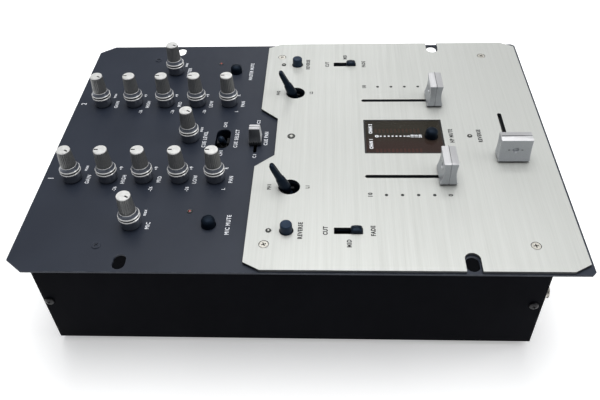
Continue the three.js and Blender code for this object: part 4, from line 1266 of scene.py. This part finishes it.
# ---------------------------------------------------------------- printing
def knob_words():
    """A name in front of each knob and marks at the ends of its travel."""
    marks = {"gain": ("", "max"), "pan": ("L", "R")}
    words = []
    for node in KNOBS:
        spot = middle(node)
        name = node.split("_knob")[0]
        low_mark, high_mark = ("", "max") if node in SINGLE_KNOBS else marks.get(name, ("-26", "+9"))
        words.append((name.replace("_", " ").upper(), spot.x - 1, spot.y - 10.8, WORD))
        words.append((high_mark, spot.x + 10.6, spot.y - 6.6, MARK))
        if low_mark:
            words.append((low_mark, spot.x - 10.6, spot.y - 6.6, MARK))
    return words


def make_plate_print():
    """White words and marks on the painted half of the face."""
    words = knob_words()
    for node, text in zip(MUTE_KEYS, ("MIC MUTE", "MASTER MUTE")):
        spot = middle(node)
        words.append((text, spot.x, spot.y - 12.6, WORD))
    words.append(("CUE SELECT", 0, CUE_SELECT_Y - 10.1, WORD))
    words.append(("CH1", -16.4, CUE_SELECT_Y - 0.4, MARK))
    words.append(("CH2", 16.4, CUE_SELECT_Y - 0.2, MARK))
    slider_y = middle("cue_pan_slider").y
    words.append(("CUE PAN", 0, slider_y - 7.4, WORD))
    words.append(("C1", -19.6, slider_y - 0.4, MARK, 1.0))
    words.append(("C2", 19.6, slider_y - 0.4, MARK, 1.0))
    for number in CHANNELS:
        gain = middle(f"gain_knob_{number}")
        words.append((str(number), gain.x, gain.y + 15.6, 1.5 * WORD))
    fixed("face_print_white", lettering(words, PLATE_TOP, 0.02), [WHITE_INK])


def make_overlay_print():
    """Black words and marks on the brushed half of the face."""
    words = []
    spots = []
    for number, side in CHANNELS.items():
        key = middle(f"reverse_button_{number}")
        lever_x = side * LEVER_X
        slot_y = middle(f"mode_switch_{number}").y + MODE_TRAVEL / 2
        fader_y = middle(f"channel_fader_{number}").y
        scale_x = side * 61.8
        top = fader_y + FADER_TRAVEL
        words += [
            ("REVERSE", key.x, key.y - 8.9, WORD),
            (f"PH{number}", lever_x, LEVER_Y + 13.4, MARK),
            (f"L{number}", lever_x, LEVER_Y - 12.4, MARK),
            ("CUT", key.x, slot_y + 14.3, WORD),
            ("FADE", key.x, slot_y - 15.6, WORD),
            ("MID", key.x + side * 10.7, slot_y - 0.5, WORD),
            ("10", scale_x, top, 1.15 * MARK, 1.0),
            ("0", scale_x, fader_y - 0.6, 1.15 * MARK, 1.0),
        ]
        spots += [(scale_x, top - step * 10.5) for step in (1, 2, 3, 4)]
    words.append(("HP MUTE", 0, middle("meter_window").y - 34.2, WORD))
    words.append(("REVERSE", 0, middle("crossfader_led").y - 7.0, WORD))
    mesh = joined(lettering(words, OVERLAY_TOP, 0.07), dots(spots, 1.15, OVERLAY_TOP))
    fixed("face_print_black", mesh, [BLACK_INK])


def make_meter_print():
    """The scale between the light bars, from its numbers up to a ring, and a channel name over each bar;
    and a black frame around the window, painted shade at its edge.
    """
    rear = corners("meter_window")[1]
    top = rear.z + INK
    numbers = ("20", "15", "10", "5")
    words = [(text, 0, meter_step(step), 2.2, 1.0) for step, text in enumerate(numbers)]
    words += [(f"CHAN {number}", side * 8.6, rear.y - 4.6, 2.5, 0.78) for number, side in CHANNELS.items()]
    marks = [lettering(words, rear.z, 0.065)]
    for step in range(len(numbers), METER_STEPS - 1):
        y = meter_step(step)
        marks.append(box(-0.6, 0.6, y - 0.65, y + 0.65, rear.z, top, 0))
    ring = [(0.6, rear.z), (1.35, rear.z), (1.35, top), (0.6, top)]
    marks.append(moved(lathe(ring, 32), at(0, meter_step(METER_STEPS - 1), 0)))
    fixed("meter_print", joined(*marks), [WHITE_INK])
    # A black frame printed around the window's edge: painted shade in the gap between window and overlay.
    outer, inner = around("meter_window", -0.1, 0.5), around("meter_window", -0.8, 0.3)
    edge_shade_frame = plate(outer, [inner], rear.z, top, bevel=0.0)
    fixed("meter_edge_shade", edge_shade_frame, [BLACK_INK])


def make_rear_print():
    """Words beside the sockets on the rear panel, drawn as they are read from behind."""
    low_row, high_row = SOCKET_ROWS
    names = zip(INPUT_COLUMNS + OUTPUT_COLUMNS, ("PH 2", "LI 2", "PH 1", "LI 1", "OUT B", "OUT A"))
    words = [(text, -x, high_row + 8.2, 2.4) for x, text in names]
    words.append(("INPUTS", -sum(INPUT_COLUMNS) / len(INPUT_COLUMNS), high_row + 13.4, 2.8))
    words.append(("MIC", -middle("mic_jack").x, JACK_Z + 9.6, 2.6))
    module = middle("power_module")
    words.append(("POWER", -module.x, module.z + 13.6, 2.6))
    words += [(text, -(INPUT_COLUMNS[-1] + 8.5), z, 2.4) for text, z in (("L", high_row), ("R", low_row))]
    stand = at(0, corners("rear_panel")[1].y, 0) @ turn("Z", 180) @ turn("X", 90)
    fixed("rear_print", moved(lettering(words, 0), stand), [WHITE_INK])


# ---------------------------------------------------------------- studio
def camera_matrix(place, pitch, yaw, roll):
    """A camera's matrix from where it is, how far it looks down, its turn from +X, and its roll."""
    down, round_z, tilt = (math.radians(value) for value in (pitch, yaw, roll))
    level_reach = math.cos(down)
    forward = Vector((level_reach * math.cos(round_z), level_reach * math.sin(round_z), -math.sin(down)))
    level = forward.cross(Vector((0, 0, 1))).normalized()
    below = forward.cross(level)
    right = level * math.cos(tilt) + below * math.sin(tilt)
    up = level * math.sin(tilt) - below * math.cos(tilt)
    spin = Matrix((right, up, -forward)).transposed().to_4x4()
    return Matrix.Translation(place) @ spin


def make_camera():
    data = bpy.data.cameras.new("camera")
    data.lens = 40.25
    data.sensor_width = 36
    data.clip_start = 0.01
    thing = held("camera", data)
    thing.matrix_world = camera_matrix((-0.3822, -0.0225, 0.4038), pitch=44.13, yaw=3.72, roll=2.44)
    bpy.context.scene.camera = thing


def area_light(name, place, size, power):
    """A rectangular light that faces the middle of the case."""
    data = bpy.data.lights.new(name, "AREA")
    data.shape = "RECTANGLE"
    data.size, data.size_y = size
    data.energy = power
    thing = held(name, data)
    thing.location = place
    thing.rotation_euler = (Vector((0, 0, 0.06)) - Vector(place)).to_track_quat("-Z", "Y").to_euler()


def make_studio():
    world = bpy.data.worlds.new("studio")
    world.use_nodes = True
    backdrop = world.node_tree.nodes["Background"].inputs
    backdrop["Color"].default_value = (0.95, 0.97, 1.0, 1)
    backdrop["Strength"].default_value = 0.3
    bpy.context.scene.world = world
    bpy.context.scene.view_settings.view_transform = "Standard"
    area_light("overhead", (0.25, 0.0, 1.6), size=(1.2, 1.4), power=22)
    area_light("near_side", (-0.1, -1.3, 1.1), size=(1.0, 1.0), power=6.5)
    area_light("far_side", (1.5, 0.05, 0.88), size=(0.6, 0.4), power=1.7)
    mesh = bmesh.new()
    bmesh.ops.create_grid(mesh, x_segments=24, y_segments=24, size=FLOOR_REACH)
    held("floor", to_mesh("floor", mesh, [studio_floor()]))


# ---------------------------------------------------------------- assembly
make_camera()
make_studio()

make_faceplate()
make_overlay()
make_base_cover()
make_end_panels()
make_face_screws()
make_side_screws()
make_feet()
make_jacks()
make_phono_blocks()

make_knobs()
make_fader_caps()
make_cue_pan_cap()
make_levers()
make_mute_keys()
make_reverse_keys()
make_mode_caps()
make_leds()

make_wells()
make_dust_lips()
make_meter()

make_plate_print()
make_overlay_print()
make_meter_print()
make_rear_print()

paint("control_board", CIRCUIT)
paint("meter_board", CIRCUIT)
paint("power_module", SOCKET_PLASTIC, 0.3)
paint("power_rocker", ROCKER, 0.4)
for track in ("fader_track_1", "fader_track_2", "crossfader_track"):
    paint(track, ZINC, 0.2)
